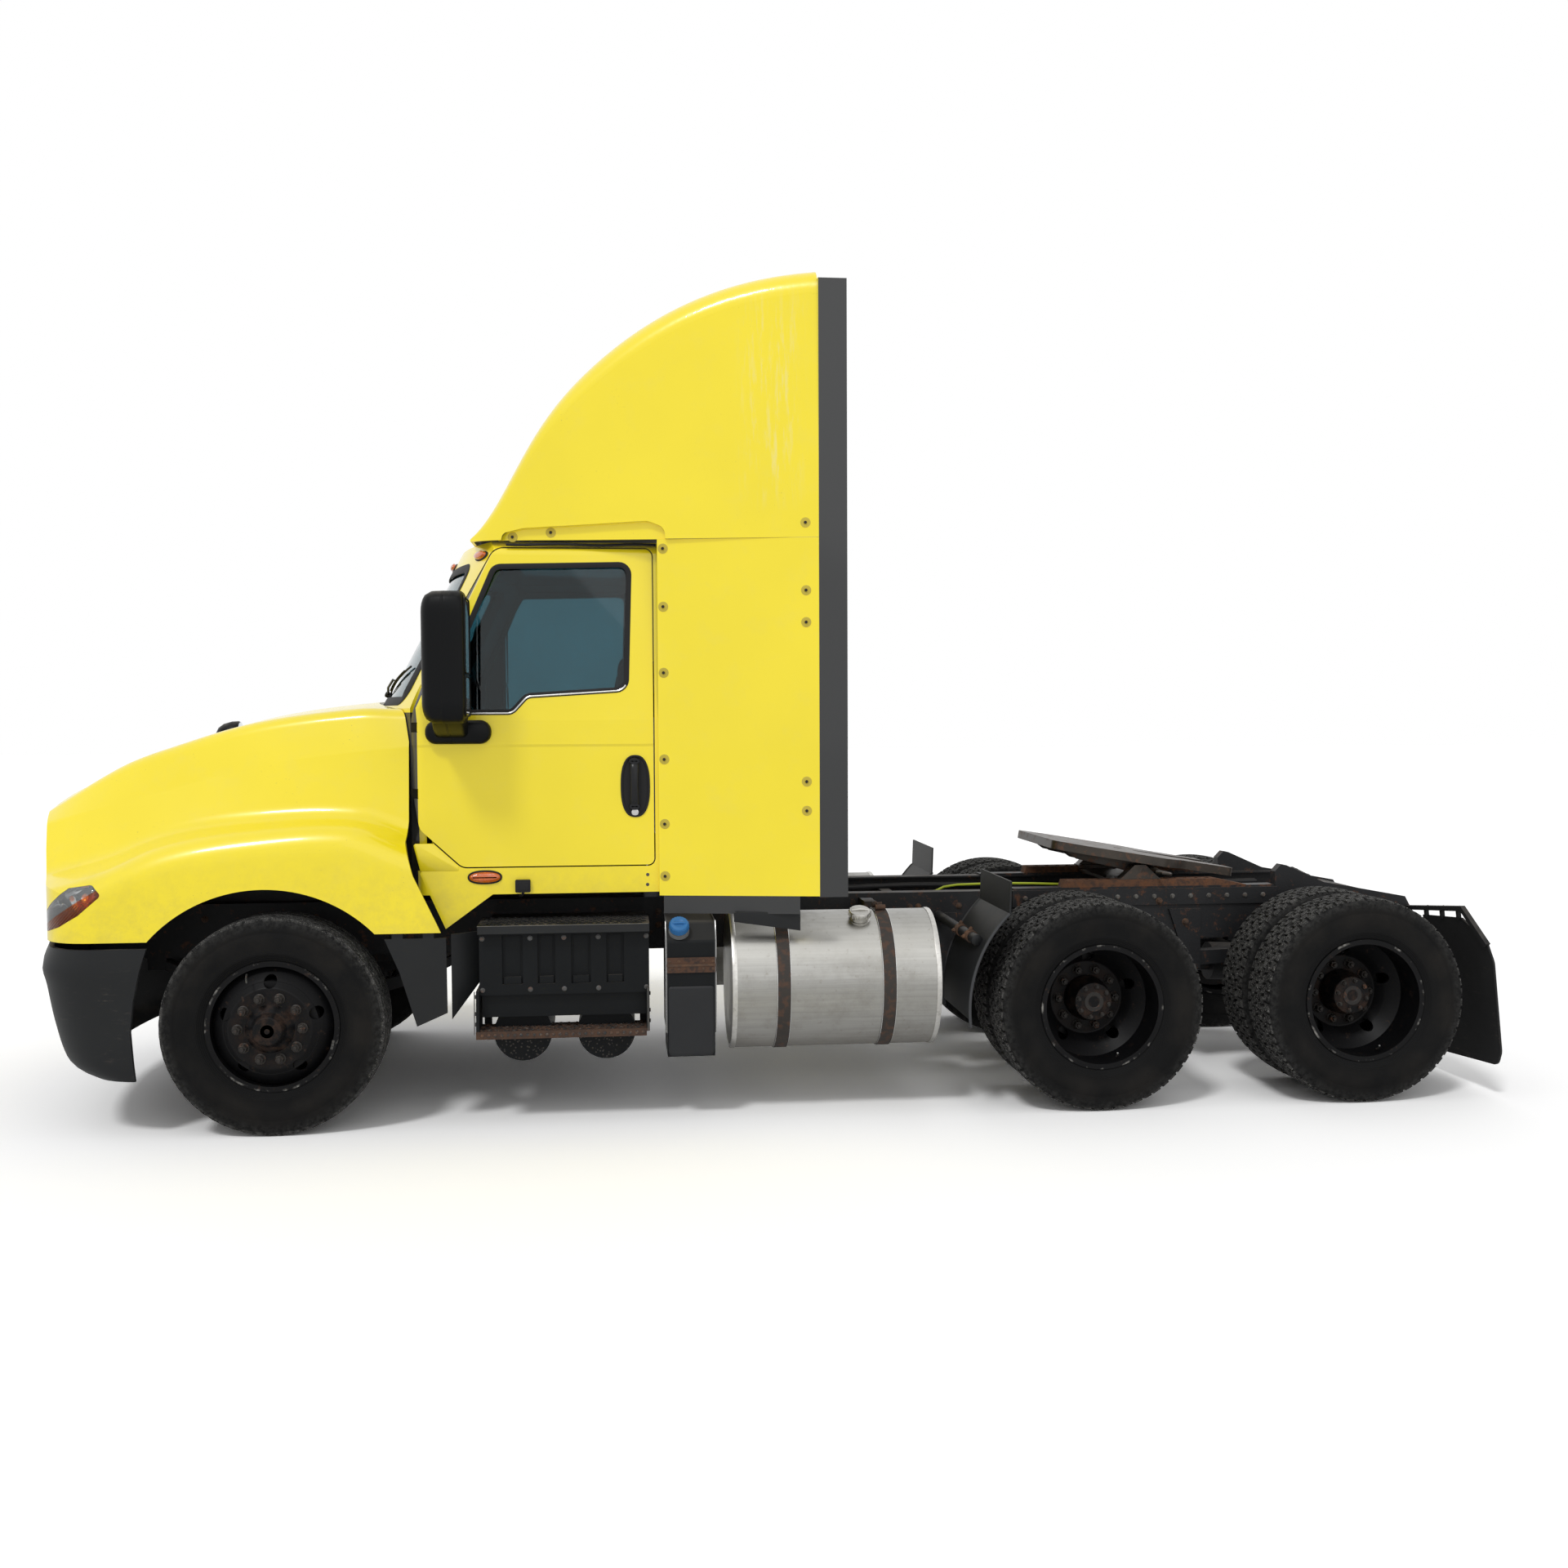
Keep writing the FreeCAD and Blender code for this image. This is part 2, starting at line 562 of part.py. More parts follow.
def hood():
    shell = hood_body(0).cut(hood_body(HOOD_WALL))
    shell = shell.cut(hood_rear()).cut(cab_body(-12))
    shell = shell.cut(box(-1000, 1400, -1300, 1300, 500, HOOD_BOTTOM))
    shell = shell.cut(box(-1000, -100, -1300, 1300, 500, HOOD_BOTTOM + 18))
    for side in (1, -1):
        shell = shell.cut(rod((ARCH_X, side * 700, ARCH_Z), (ARCH_X, side * 1300, ARCH_Z), ARCH_RADIUS))
    shell = shell.cut(grille_space(1000))
    lamp = headlamp_body(1.0)
    shell = shell.cut(lamp).cut(mirrored(lamp))
    lug_y = RAIL_OUTER - RAIL_WALL - HOOD_LUG - 2
    lug = box(HOOD_PIVOT_X - 22, 1300, lug_y - HOOD_LUG, lug_y, HOOD_PIVOT_Z - 50, HOOD_PIVOT_Z + 22)
    lug = lug.common(hood_body(HOOD_WALL / 2)).cut(grille_space(HOOD_PIVOT_X + 30))
    lug = lug.cut(rod((HOOD_PIVOT_X, 300, HOOD_PIVOT_Z), (HOOD_PIVOT_X, 500, HOOD_PIVOT_Z), HOOD_PIN + FIT))
    shell = fused(shell, lug, mirrored(lug))
    add("hood", shell)


# Lower rear quarter of the front wheel arch, in side view: x, z
SKIRT_EDGE = [(-501, 892), (-567, 738), (-644, 484), (-782, 544), (-780, 892)]
SKIRT_OUT = 1166.0
SKIRT_WALL = 12.0


def fender_skirt(side):
    """Black panel below the fender, with the splash guard that closes it towards the wheel."""
    name = "left" if side > 0 else "right"
    panel = slab_xz(SKIRT_EDGE, SKIRT_OUT - SKIRT_WALL, SKIRT_OUT)
    guard = slab_xz([SKIRT_EDGE[0], SKIRT_EDGE[1], SKIRT_EDGE[2], (-656, 490), (-580, 741), (-515, 892)],
                    CAB_HALF + 8, SKIRT_OUT)
    tabs = [box(x - 25, x + 25, HOOD_HALF - HOOD_WALL - 8, HOOD_HALF - HOOD_WALL, 860, 940) for x in (-560, -700)]
    whole = fused(panel, guard, *tabs)
    add("fender_skirt_" + name, whole if side > 0 else mirrored(whole))


GRILLE_LOW = 940.0


def grille_space(back):
    """The opening in the nose, from x = back forward."""
    return slab_yz([(-440, 1400, 40), (440, 1400, 40), (520, GRILLE_LOW, 40), (-520, GRILLE_LOW, 40)], back, 1300)


def grille():
    gap = 3
    face = slab_yz([(-440 + gap, 1400 - gap, 38), (440 - gap, 1400 - gap, 38), (520 - gap, 940 + gap, 38),
                    (-520 + gap, 940 + gap, 38)], 1000, 1300)
    shell = hood_body(2).cut(hood_body(32)).common(face)
    inner = slab_yz([(-400, 1365, 20), (400, 1365, 20), (476, 975, 20), (-476, 975, 20)], 1000, 1300)
    frame = shell.cut(inner)
    bars = [frame]
    for k in range(8):
        z = 995 + k * 48
        bars.append(shell.common(box(1000, 1300, -520, 520, z, z + 20)))
    bars.append(shell.common(box(1000, 1300, -12, 12, 945, 1395)))
    # Flange that sits against the back of the nose
    flange = slab_yz([(-452, 1412, 40), (452, 1412, 40), (534, GRILLE_LOW - 12, 40), (-534, GRILLE_LOW - 12, 40)], 1000, 1300)
    flange = hood_body(HOOD_WALL).cut(hood_body(HOOD_WALL + 8)).common(flange).cut(inner)
    for y0, y1 in ((365, 400), (-400, -365)):
        flange = flange.cut(box(1000, 1300, y0, y1, GRILLE_LOW - 40, HOOD_PIVOT_Z + 30))
    whole = fused(flange, *bars)
    # Notches around the pivot ears and lugs
    notch = box(1000, HOOD_PIVOT_X + 36, 360, RAIL_OUTER, GRILLE_LOW - 30, HOOD_PIVOT_Z + 30)
    add("grille", whole.cut(notch).cut(mirrored(notch)))


def headlamp_body(grow):
    side = slab_xz([(725 - grow, 1118), (780, 1170 + grow), (1300, 1170 + grow), (1300, 915 - grow), (1040, 930 - grow)],
                   500, 1300)
    front = slab_yz([(700 - grow, 925 - grow), (720 - grow, 1010 + grow), (900, 1080 + grow), (1300, 1200 + grow),
                     (1300, 900 - grow)], 600, 1300)
    return hood_body(-grow if grow < 0 else 0).cut(hood_body(28)).common(side).common(front)


def headlamps():
    lamp = headlamp_body(0).cut(hood_body(26))
    add("headlamp_left", lamp)
    add("headlamp_right", mirrored(lamp))


def hood_mirror():
    head = rod((700, -1090, 1780), (730, -1090, 1780), 85)
    stalk = rod((770, -960, 1350), (715, -1080, 1740), 14)
    add("hood_mirror", fused(head, stalk).cut(hood_body(0)))


# ---------------------------------------------------------------- cab
@lru_cache(None)
def cab_body(inset):
    """Closed body of the cab, drawn in by inset: upright below the belt, leaning glass above."""
    t = inset
    rear = CAB_REAR + t
    low = nose_wire(GLASS_BASE_X - t, GLASS_PLAN_RADIUS - t, CAB_HALF - t, 60, rear, CAB_FLOOR + t)
    lower = Part.Face(low).extrude(V(0, 0, CAB_BELT - CAB_FLOOR - t))
    shift = nose_wire(GLASS_BASE_X - t, GLASS_PLAN_RADIUS - t, CAB_HALF - t, 60, rear - 600, CAB_BELT)
    rise = CAB_ROOF - t - CAB_BELT
    upper = Part.Face(shift).extrude(V(-GLASS_LEAN * rise / GLASS_RISE, 0, rise))
    upper = upper.common(box(rear, 500, -2000, 2000, 0, 4000))
    section = symmetric([(CAB_HALF - t, 900), (CAB_HALF - t, CAB_BELT - 60), (CAB_ROOF_HALF - t, CAB_ROOF - 40 - t, 50),
                         (CAB_ROOF_HALF - 80 - t, CAB_ROOF - t)])
    return lower.fuse(upper).common(slab_yz(section, -3000, 500))


# Door's edge in side view: x, z, corner radius
DOOR_EDGE = [
    (-1742, 1205, 30), (-845, 1205, 60), (-650, 1385, 60), (-615, 1560, 200), (-612, 1900, 200),
    (-690, 2125, 300), (-885, 2485, 300), (-1010, 2700, 80), (-1742, 2700, 40),
]
WINDOW_EDGE = [
    (-1628, 2618, 40), (-1610, 2040, 45), (-1150, 2012, 60), (-1080, 1935, 40), (-800, 1935, 25), (-800, 2115, 60),
    (-1010, 2605, 40),
]


def moved_edge(points, grow):
    """The same outline drawn in (grow < 0) or let out (grow > 0) by a distance."""
    wire = outline(points, in_xy, 0)
    return wire.makeOffset2D(grow) if grow else wire


def side_prism(points, grow, y0, y1):
    wire = moved_edge(points, grow)
    face = Part.Face(wire)
    solid = face.extrude(V(0, 0, y1 - y0))
    solid.rotate(V(0, 0, 0), V(1, 0, 0), 90)
    solid.translate(V(0, y1, 0))
    return solid


def windshield_space():
    return slab_yz([(-840, 1990, 60), (840, 1990, 60), (780, 2620, 60), (-780, 2620, 60)], -1100, 0)


def rear_window_space():
    return slab_yz([(-640, 1900, 50), (640, 1900, 50), (640, 2500, 50), (-640, 2500, 50)], -1900, -1700)


def hinge_bush(z):
    """Fixed half of a door hinge, reaching out from the end of the front wall."""
    x, y = DOOR_HINGE_X, DOOR_HINGE_Y
    arm = box(x - HINGE_BUSH, x + HINGE_BUSH, CAB_HALF - CAB_WALL - 30, y, z - HINGE_HALF, z + HINGE_HALF)
    bush = rod((x, y, z - HINGE_HALF), (x, y, z + HINGE_HALF), HINGE_BUSH)
    return fused(arm, bush).cut(rod((x, y, z - 50), (x, y, z + 50), HINGE_PIN + FIT))


def hinge_room(z):
    """Room in the door's edge for the bush through the whole swing."""
    x, y, high = DOOR_HINGE_X, DOOR_HINGE_Y, HINGE_HALF + HINGE_RUN
    around = HINGE_BUSH + HINGE_RUN
    return fused(rod((x, y, z - high), (x, y, z + high), around),
                 box(x - around, x + 100, y - 100, y, z - high, z + high),
                 box(x, x + 100, y - 100, y + around, z - high, z + high))


def cab():
    shell = cab_body(0).cut(cab_body(CAB_WALL))
    for side in (1, -1):
        clear = slab_yz([(CAB_HALF - DOOR_THICK - 8, 900), (CAB_HALF - DOOR_THICK - 8, CAB_BELT - 60),
                         (CAB_ROOF_HALF - DOOR_THICK - 8, CAB_ROOF + 20), (1400, CAB_ROOF + 20), (1400, 900)],
                        -2000, -300)
        pocket = side_prism(DOOR_EDGE, DOOR_GAP, 800, 1300).common(clear)
        way = side_prism(DOOR_EDGE, -70, 700, 1300)
        cut = pocket.fuse(way)
        shell = shell.cut(cut if side > 0 else mirrored(cut))
        swing = rod((DOOR_HINGE_X, side * DOOR_HINGE_Y, 1190), (DOOR_HINGE_X, side * DOOR_HINGE_Y, 2060), HINGE_SWING)
        shell = shell.cut(swing)
    shell = shell.cut(windshield_space()).cut(rear_window_space())
    sill = slab_xz([(-1742, CAB_FLOOR), (-985, CAB_FLOOR), (-765, 915), (-650, 1175), (-662, 1198), (-1742, 1198)],
                   CAB_HALF - DOOR_THICK, CAB_HALF)
    pads = []
    for x in (-780, -1740):
        pads.append(box(x - 40, x + 40, RAIL_OUTER - RAIL_FLANGE, RAIL_OUTER, RAIL_TOP, CAB_FLOOR + 10))
    sill = sill.cut(side_prism(DOOR_EDGE, DOOR_GAP, 700, 1300))
    pads += [hinge_bush(z) for z in DOOR_HINGE_ROWS]
    add("cab", fused(shell, sill, mirrored(sill), *(pads + [mirrored(p) for p in pads])))


def cab_glass():
    pane = cab_body(12).cut(cab_body(18))
    add("windshield", pane.common(windshield_space()))
    add("rear_window", pane.common(rear_window_space()))


def door(side):
    name = "left" if side > 0 else "right"
    inner = slab_yz([(CAB_HALF - DOOR_THICK, 900), (CAB_HALF - DOOR_THICK, CAB_BELT - 60),
                     (CAB_ROOF_HALF - DOOR_THICK, CAB_ROOF + 20), (1400, CAB_ROOF + 20), (1400, 900)], -2000, -300)
    leaf = cab_body(0).common(side_prism(DOOR_EDGE, 0, 700, 1300)).common(inner)
    opening = side_prism(WINDOW_EDGE, 0, 700, 1300)
    leaf = leaf.cut(opening)
    for z in DOOR_HINGE_ROWS:
        leaf = leaf.cut(hinge_room(z))
        leaf = leaf.fuse(rod((DOOR_HINGE_X, DOOR_HINGE_Y, z - 45), (DOOR_HINGE_X, DOOR_HINGE_Y, z + 45), HINGE_PIN))
    skin = cab_body(20).cut(cab_body(26)).common(opening)
    skin = skin.common(box(-2000, 0, 700, 1300, 1900, 2700))
    mirror_arm = slab_xz([(-985, 1795, 20), (-985, 1880, 30), (-700, 1895, 20), (-700, 1785, 20)], CAB_HALF - 10, 1300)
    head = box(-900, -705, 1120, 1390, 1880, 2470)
    head = head.makeFillet(45, head.Edges)
    mirror = fused(mirror_arm, head).cut(cab_body(0))
    if side < 0:
        leaf, skin, mirror = mirrored(leaf), mirrored(skin), mirrored(mirror)
    add("door_" + name, leaf)
    add("door_glass_" + name, skin)
    add("mirror_" + name, mirror)


def interior():
    dash = slab_xz([(-560, 1500), (-560, 1900, 30), (-760, 1900, 60), (-860, 1700, 60), (-800, 1500)], -880, 880)
    dash = dash.common(cab_body(CAB_WALL))
    wheel = Part.makeTorus(225, 16, V(0, 0, 0), V(0, 0, 1))
    spoke = fused(box(-225, 225, -20, 20, -8, 8), Part.makeCylinder(60, 30, V(0, 0, -15)),
                  Part.makeCylinder(25, 230, V(0, 0, -240)))
    wheel = fused(wheel, spoke)
    wheel.rotate(V(0, 0, 0), V(0, 1, 0), -40)
    wheel.translate(V(-960, 520, 1850))
    add("dashboard", fused(dash, wheel))
    seats = []
    for y in (520, -520):
        base = box(-1560, -1150, y - 200, y + 200, CAB_FLOOR + CAB_WALL, 1420)
        cushion = box(-1600, -1080, y - 260, y + 260, 1420, 1560)
        back = slab_xz([(-1490, 1560), (-1600, 1560), (-1730, 2320, 40), (-1640, 2330, 40)], y - 250, y + 250)
        seats.append(fused(base, cushion, back))
    add("seats", *seats)


# ---------------------------------------------------------------- roof fairing and side extenders
# x, side height, centre height, half width, corner radius
FAIRING_ROWS = [
    (-890, 2748, 2790, 900, 5),
    (-1000, 2880, 2965, 955, 60),
    (-1200, 3225, 3330, 1000, 90),
    (-1450, 3530, 3600, 1030, 110),
    (-1800, 3785, 3830, 1085, 120),
    (-2200, 3935, 3975, 1150, 120),
    (-2510, 3975, 4020, 1205, 120),
]


@lru_cache(None)
def fairing_body(inset):
    wires = []
    for x, side_z, mid_z, half_y, corner in FAIRING_ROWS:
        t = inset
        points = symmetric([(half_y - t, FAIRING_BASE - t), (half_y - 12 - t, side_z - t, corner), (0, mid_z - t, 3000)])
        wires.append(outline(points, in_yz, x - (t if x == FAIRING_ROWS[0][0] else 0) - (t if x == FAIRING_ROWS[-1][0] else 0)))
    return Part.makeLoft(wires, True, False)


# Recess in the fairing above each door: x, z
RECESS_EDGE = [(-1033, 2700), (-1045, 2768, 30), (-1140, 2790, 60), (-1720, 2820, 60), (-1800, 2790, 50), (-1806, 2700)]
RECESS_DEPTH = 26.0


def fairing():
    shell = fairing_body(0).cut(fairing_body(FAIRING_WALL))
    thick = fairing_body(0).cut(fairing_body(RECESS_DEPTH + FAIRING_WALL))
    around = thick.common(side_prism(RECESS_EDGE, FAIRING_WALL, 700, 1300))
    pocket = side_prism(RECESS_EDGE, 0, 700, 1300).cut(fairing_body(RECESS_DEPTH))
    for half, room in ((around, pocket), (mirrored(around), mirrored(pocket))):
        shell = shell.fuse(half).cut(room)
    add("roof_fairing", shell.removeSplitter())


def extender(side):
    name = "left" if side > 0 else "right"
    panel = slab_xy([(EXTENDER_FRONT, CAB_HALF), (EXTENDER_FRONT, CAB_HALF + 30), (FAIRING_REAR, EXTENDER_HALF),
                     (FAIRING_REAR, EXTENDER_HALF - 26), (CAB_REAR, CAB_HALF)], EXTENDER_BOTTOM, FAIRING_BASE - 1)
    trim = box(TRIM_REAR, FAIRING_REAR, EXTENDER_HALF - 30, EXTENDER_HALF - 4, EXTENDER_BOTTOM - 5, 3925)
    skirt = slab_xy([(-1785, 1050), (-1785, 1060), (-2420, 1183), (-2420, 1173)], 975, EXTENDER_BOTTOM + 15)
    whole = fused(panel, trim, skirt)
    add("extender_" + name, whole if side > 0 else mirrored(whole))


# ---------------------------------------------------------------- side equipment
TANK_RADIUS = 330.0
TANK_Y = 870.0
TANK_Z = 622.0
TANK_FRONT = -2100.0
TANK_REAR = -3095.0


def fuel_tank(side):
    name = "left" if side > 0 else "right"
    tank = rod((TANK_REAR, TANK_Y, TANK_Z), (TANK_FRONT, TANK_Y, TANK_Z), TANK_RADIUS)
    parts = [tank]
    for x in (-2342, -2845):
        strap = rod((x - 30, TANK_Y, TANK_Z), (x + 30, TANK_Y, TANK_Z), TANK_RADIUS + 6)
        bracket = box(x - 30, x + 30, RAIL_OUTER, 620, 560, 960)
        parts += [strap, bracket]
    whole = fused(*parts)
    add("fuel_tank_" + name, whole if side > 0 else mirrored(whole))


STEP_FRONT = -926.0
STEP_REAR = -1711.0
STEP_OUT = 1135.0
# Recessed panels in the cover: front edge, rear edge
STEP_PANELS = [(-1031, -1126), (-1194, -1275), (-1349, -1439), (-1512, -1594)]


def step_box(side):
    """Battery box: cover with its tread plate above and a hanging step below, air tanks underneath."""
    name = "left" if side > 0 else "right"
    body = box(STEP_REAR + 10, STEP_FRONT - 10, RAIL_OUTER, STEP_OUT - 30, 508, 905)
    cover = box(STEP_REAR, STEP_FRONT, STEP_OUT - 30, STEP_OUT, 616, 905)
    for front, rear in STEP_PANELS:
        cover = cover.cut(box(rear, front, STEP_OUT - 16, STEP_OUT + 1, 665, 897))
    tread = box(STEP_REAR - 2, STEP_FRONT + 4, 890, 1180, 905, 946)
    low = box(STEP_REAR + 14, STEP_FRONT + 15, 985, 1180, 418, 453)
    ends = [slab_yz([(985, 420), (1180, 440), (1165, 640), (985, 640)], x, x + 14) for x in (STEP_REAR, STEP_FRONT)]
    ties = [box(x - 14, x + 14, 900, 1000, 420, 520) for x in (STEP_REAR + 28, STEP_FRONT - 24)]
    drums = [rod((x, 700, 425), (x, 1060, 425), 135) for x in (-1120, -1510)]
    whole = fused(body, cover, tread, low, *(ends + ties + drums))
    add("step_box_" + name, whole if side > 0 else mirrored(whole))


def def_tank():
    tank = slab_yz([(760, 300, 30), (1150, 300, 40), (1150, 850, 30), (1085, 940, 30), (760, 940)], -2018, -1796)
    cheeks = [slab_yz([(760, 420), (1150, 420), (1150, 860), (1090, 945), (760, 945)], x, x + 6) for x in (-2024, -1796)]
    strap = box(-2024, -1790, 1140, 1158, 705, 776)
    arm = box(-1960, -1850, RAIL_OUTER, 780, 800, 900)
    cap = rod((-1852, 1110, 890), (-1852, 1148, 930), 34)
    add("def_tank", fused(tank, strap, arm, cap, *cheeks))


FENDER_RADIUS = 645.0
FENDER_WALL = 8.0
FENDER_TOP_DEG = 46.0


def quarter_fender(side):
    """Moulded guard ahead of the first drive wheel, on a tube from the frame."""
    name = "left" if side > 0 else "right"
    x, r, wall = -FIRST_DRIVE, FENDER_RADIUS, FENDER_WALL
    turn = math.radians(FENDER_TOP_DEG)
    ring = rod((x, 620, AXLE_Z), (x, 1225, AXLE_Z), r + wall).cut(rod((x, 600, AXLE_Z), (x, 1300, AXLE_Z), r))
    reach = 2 * r
    keep = slab_xz([(x, AXLE_Z), (x + reach * math.cos(turn), AXLE_Z + reach * math.sin(turn)), (x + reach, AXLE_Z),
                    (x + reach, AXLE_Z - 90)], 500, 1300)
    top_x, top_z = x + r * math.cos(turn), AXLE_Z + r * math.sin(turn)
    tab = slab_xz([(top_x + 6, top_z - 14), (top_x + 6 + wall, top_z - 14), (top_x + wall, 1118), (top_x, 1118)],
                  620, 1225)
    tube = rod((-3232, RAIL_OUTER, 860), (-3281, 1120, 826), 25)
    tube = tube.cut(box(-4000, -3000, 0, RAIL_OUTER + 16, 0, 2000))
    whole = fused(ring.common(keep), tab, tube)
    add("quarter_fender_" + name, whole if side > 0 else mirrored(whole))


def mud_flap(side):
    """Flap behind the last wheel, hung from a bar that rises slightly and drops at its outer end."""
    name = "left" if side > 0 else "right"
    flap = slab_yz([(600, 112, 40), (1200, 157, 60), (1240, 230, 60), (1245, 680, 60), (1200, 771), (985, 868),
                    (600, 835)], -10, 0)
    bar = slab_yz([(RAIL_OUTER, 842), (1000, 905), (1190, 750), (1215, 768), (1008, 932), (RAIL_OUTER, 864)], -12, 12)
    hooks = [box(-10, 8, y - 10, y + 10, 820 + 0.1 * (y - 600), 870 + 0.11 * (y - 600)) for y in (640, 800, 960)]
    whole = fused(flap, bar, *hooks)
    lean = math.degrees(math.atan2(-(FLAP_REAR + 10 - FLAP_HANGER_X), 930 - 112))
    whole.rotate(V(0, 0, 930), V(0, 1, 0), lean)
    whole.translate(V(FLAP_HANGER_X, 0, 0))
    whole = whole.cut(box(-6000, -5000, 0, RAIL_OUTER, 600, 1200))
    add("mud_flap_" + name, whole if side > 0 else mirrored(whole))


# ---------------------------------------------------------------- fifth wheel
def fifth_wheel():
    low, high = RAIL_OUTER - RAIL_FLANGE, RAIL_OUTER
    base = box(-5070, -3640, low, high, RAIL_TOP, RAIL_TOP + 10)
    rack = base.fuse(slab_xz([(-3900, RAIL_TOP), (-3915, RACK_TOP), (-4745, RACK_TOP), (-4912, 992), (-4912, RAIL_TOP)],
                             low, high))
    holes = [box(x, x + 24, low + 20, high - 30, RAIL_TOP + 12, RACK_TOP + 10) for x in range(-4720, -3930, 60)]
    rack = rack.cut(Part.makeCompound(holes))
    add("fifth_wheel_rails", rack, mirrored(rack))
    x, z = PLATE_PIVOT_X, PLATE_PIVOT_Z
    inner = RAIL_OUTER - RAIL_FLANGE - 1
    saddle = slab_xz([(x - 110, RACK_TOP), (x - 30, z + 24, 10), (x + 30, z + 24, 10), (x + 110, RACK_TOP)],
                     RAIL_OUTER - 80, RAIL_OUTER - 10)
    saddle = saddle.cut(rod((x, 200, z), (x, 500, z), PLATE_PIN + FIT))
    shelf = box(x - 110, x + 110, inner - 20, RAIL_OUTER - 10, RACK_TOP, RACK_TOP + 6)
    riser = box(x - 110, x + 110, inner - 20, inner, RACK_TOP - 30, RACK_TOP + 6)
    shelf = shelf.cut(rod((x, 200, z), (x, 500, z), PLATE_PIN + FIT))
    carriage = box(x - 110, x + 110, -inner, inner, RACK_TOP - 30, RACK_TOP - 14)
    half_set = fused(saddle, shelf, riser)
    add("fifth_wheel_carriage", fused(half_set, mirrored(half_set), carriage))
    half = PLATE_HALF
    plan = [(PLATE_FRONT, -half + 80, 60), (PLATE_FRONT, half - 80, 60), (300, half, 60), (-140, half, 80),
            (-260, 325, 60), (-PLATE_REAR, 300, 30), (-PLATE_REAR, 150, 20), (-90, 26, 20),
            (-90, -26, 20), (-PLATE_REAR, -150, 20), (-PLATE_REAR, -300, 30), (-260, -325, 60), (-140, -half, 80),
            (300, -half, 60)]
    plate = slab_xy(plan, PLATE_TOP - PLATE_THICK, PLATE_TOP)
    plate = plate.cut(rod((0, 0, 1000), (0, 0, 1300), KINGPIN_RADIUS))
    lugs = []
    for side in (1, -1):
        lug = box(-40, 40, 285, 315, z - 22, PLATE_TOP - PLATE_THICK)
        pin = rod((0, 300, z), (0, RAIL_OUTER - 12, z), PLATE_PIN)
        piece = fused(lug, pin)
        lugs.append(piece if side > 0 else mirrored(piece))
    plate = fused(plate, *lugs)
    plate.rotate(V(0, 0, z), V(0, 1, 0), -PLATE_TILT)
    plate.translate(V(x, 0, 0))
    add("fifth_wheel_plate", plate)


# ---------------------------------------------------------------- build
rails()
crossmembers()
engine()
front_axle()
front_springs()
tie_rod()
for number in (1, 2):
    drive_axle(number)
rear_suspension()
driveshaft()
bumper()
hood()
grille()
headlamps()
hood_mirror()
cab()
cab_glass()
interior()
fairing()
def_tank()
for hand in (1, -1):
    front_wheel(hand)
    for number in (1, 2):
        drive_wheel(number, hand)
    knuckle(hand)
    door(hand)
    extender(hand)
    fender_skirt(hand)
    fuel_tank(hand)
    step_box(hand)
    quarter_fender(hand)
    mud_flap(hand)
fifth_wheel()

for name, shape in pieces.items():
    shape.exportStep("parts/%s.step" % name)
    print("%-24s solids %d valid %s volume %.1f litres" % (
        name, len(shape.Solids), shape.isValid(), sum(s.Volume for s in shape.Solids) / 1e6))
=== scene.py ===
"""Looks of the day-cab truck tractor: materials, formed panels, tread, fasteners, glass, cab fittings.

Places are given in millimetres from the front axle line, on the ground, unless a note says metres.
"""
import json
import math

import bmesh
import bpy
from mathutils import Matrix, Vector
from mathutils.bvhtree import BVHTree


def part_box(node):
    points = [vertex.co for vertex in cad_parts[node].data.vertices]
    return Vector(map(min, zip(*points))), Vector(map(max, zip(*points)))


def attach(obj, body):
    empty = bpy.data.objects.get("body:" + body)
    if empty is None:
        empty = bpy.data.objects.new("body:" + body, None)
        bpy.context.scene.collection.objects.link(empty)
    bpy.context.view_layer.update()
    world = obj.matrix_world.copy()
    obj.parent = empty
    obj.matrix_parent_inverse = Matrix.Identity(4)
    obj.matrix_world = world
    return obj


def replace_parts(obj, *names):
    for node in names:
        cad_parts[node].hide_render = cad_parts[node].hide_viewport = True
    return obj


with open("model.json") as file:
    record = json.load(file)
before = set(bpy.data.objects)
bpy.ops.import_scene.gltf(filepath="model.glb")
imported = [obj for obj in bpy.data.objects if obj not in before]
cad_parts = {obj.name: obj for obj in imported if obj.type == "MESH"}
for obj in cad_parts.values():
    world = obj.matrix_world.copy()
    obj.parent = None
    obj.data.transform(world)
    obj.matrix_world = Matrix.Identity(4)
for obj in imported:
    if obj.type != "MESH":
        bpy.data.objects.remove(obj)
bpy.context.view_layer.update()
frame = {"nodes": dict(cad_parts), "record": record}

NODES = frame["nodes"]
SLOT_OF = {p["node"]: p["material_slot"] for p in frame["record"]["subparts"]}
TAU = 2 * math.pi
UP = Vector((0, 0, 1))
AHEAD = Vector((1, 0, 0))


def middle(node):
    low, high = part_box(node)
    return (low + high) / 2


AXLE_X, _, WHEEL_Z = middle("rim_front_left")


def P(x, y, z):
    return Vector((AXLE_X + x / 1000, y / 1000, z / 1000))


def X(x):
    return AXLE_X + x / 1000


def link(name, data):
    obj = bpy.data.objects.new(name, data)
    bpy.context.scene.collection.objects.link(obj)
    return obj


def both_sides(build):
    """Run a builder for the left side, then for the right."""
    def run():
        for side, name in ((1, "left"), (-1, "right")):
            build(side, name)
    return run


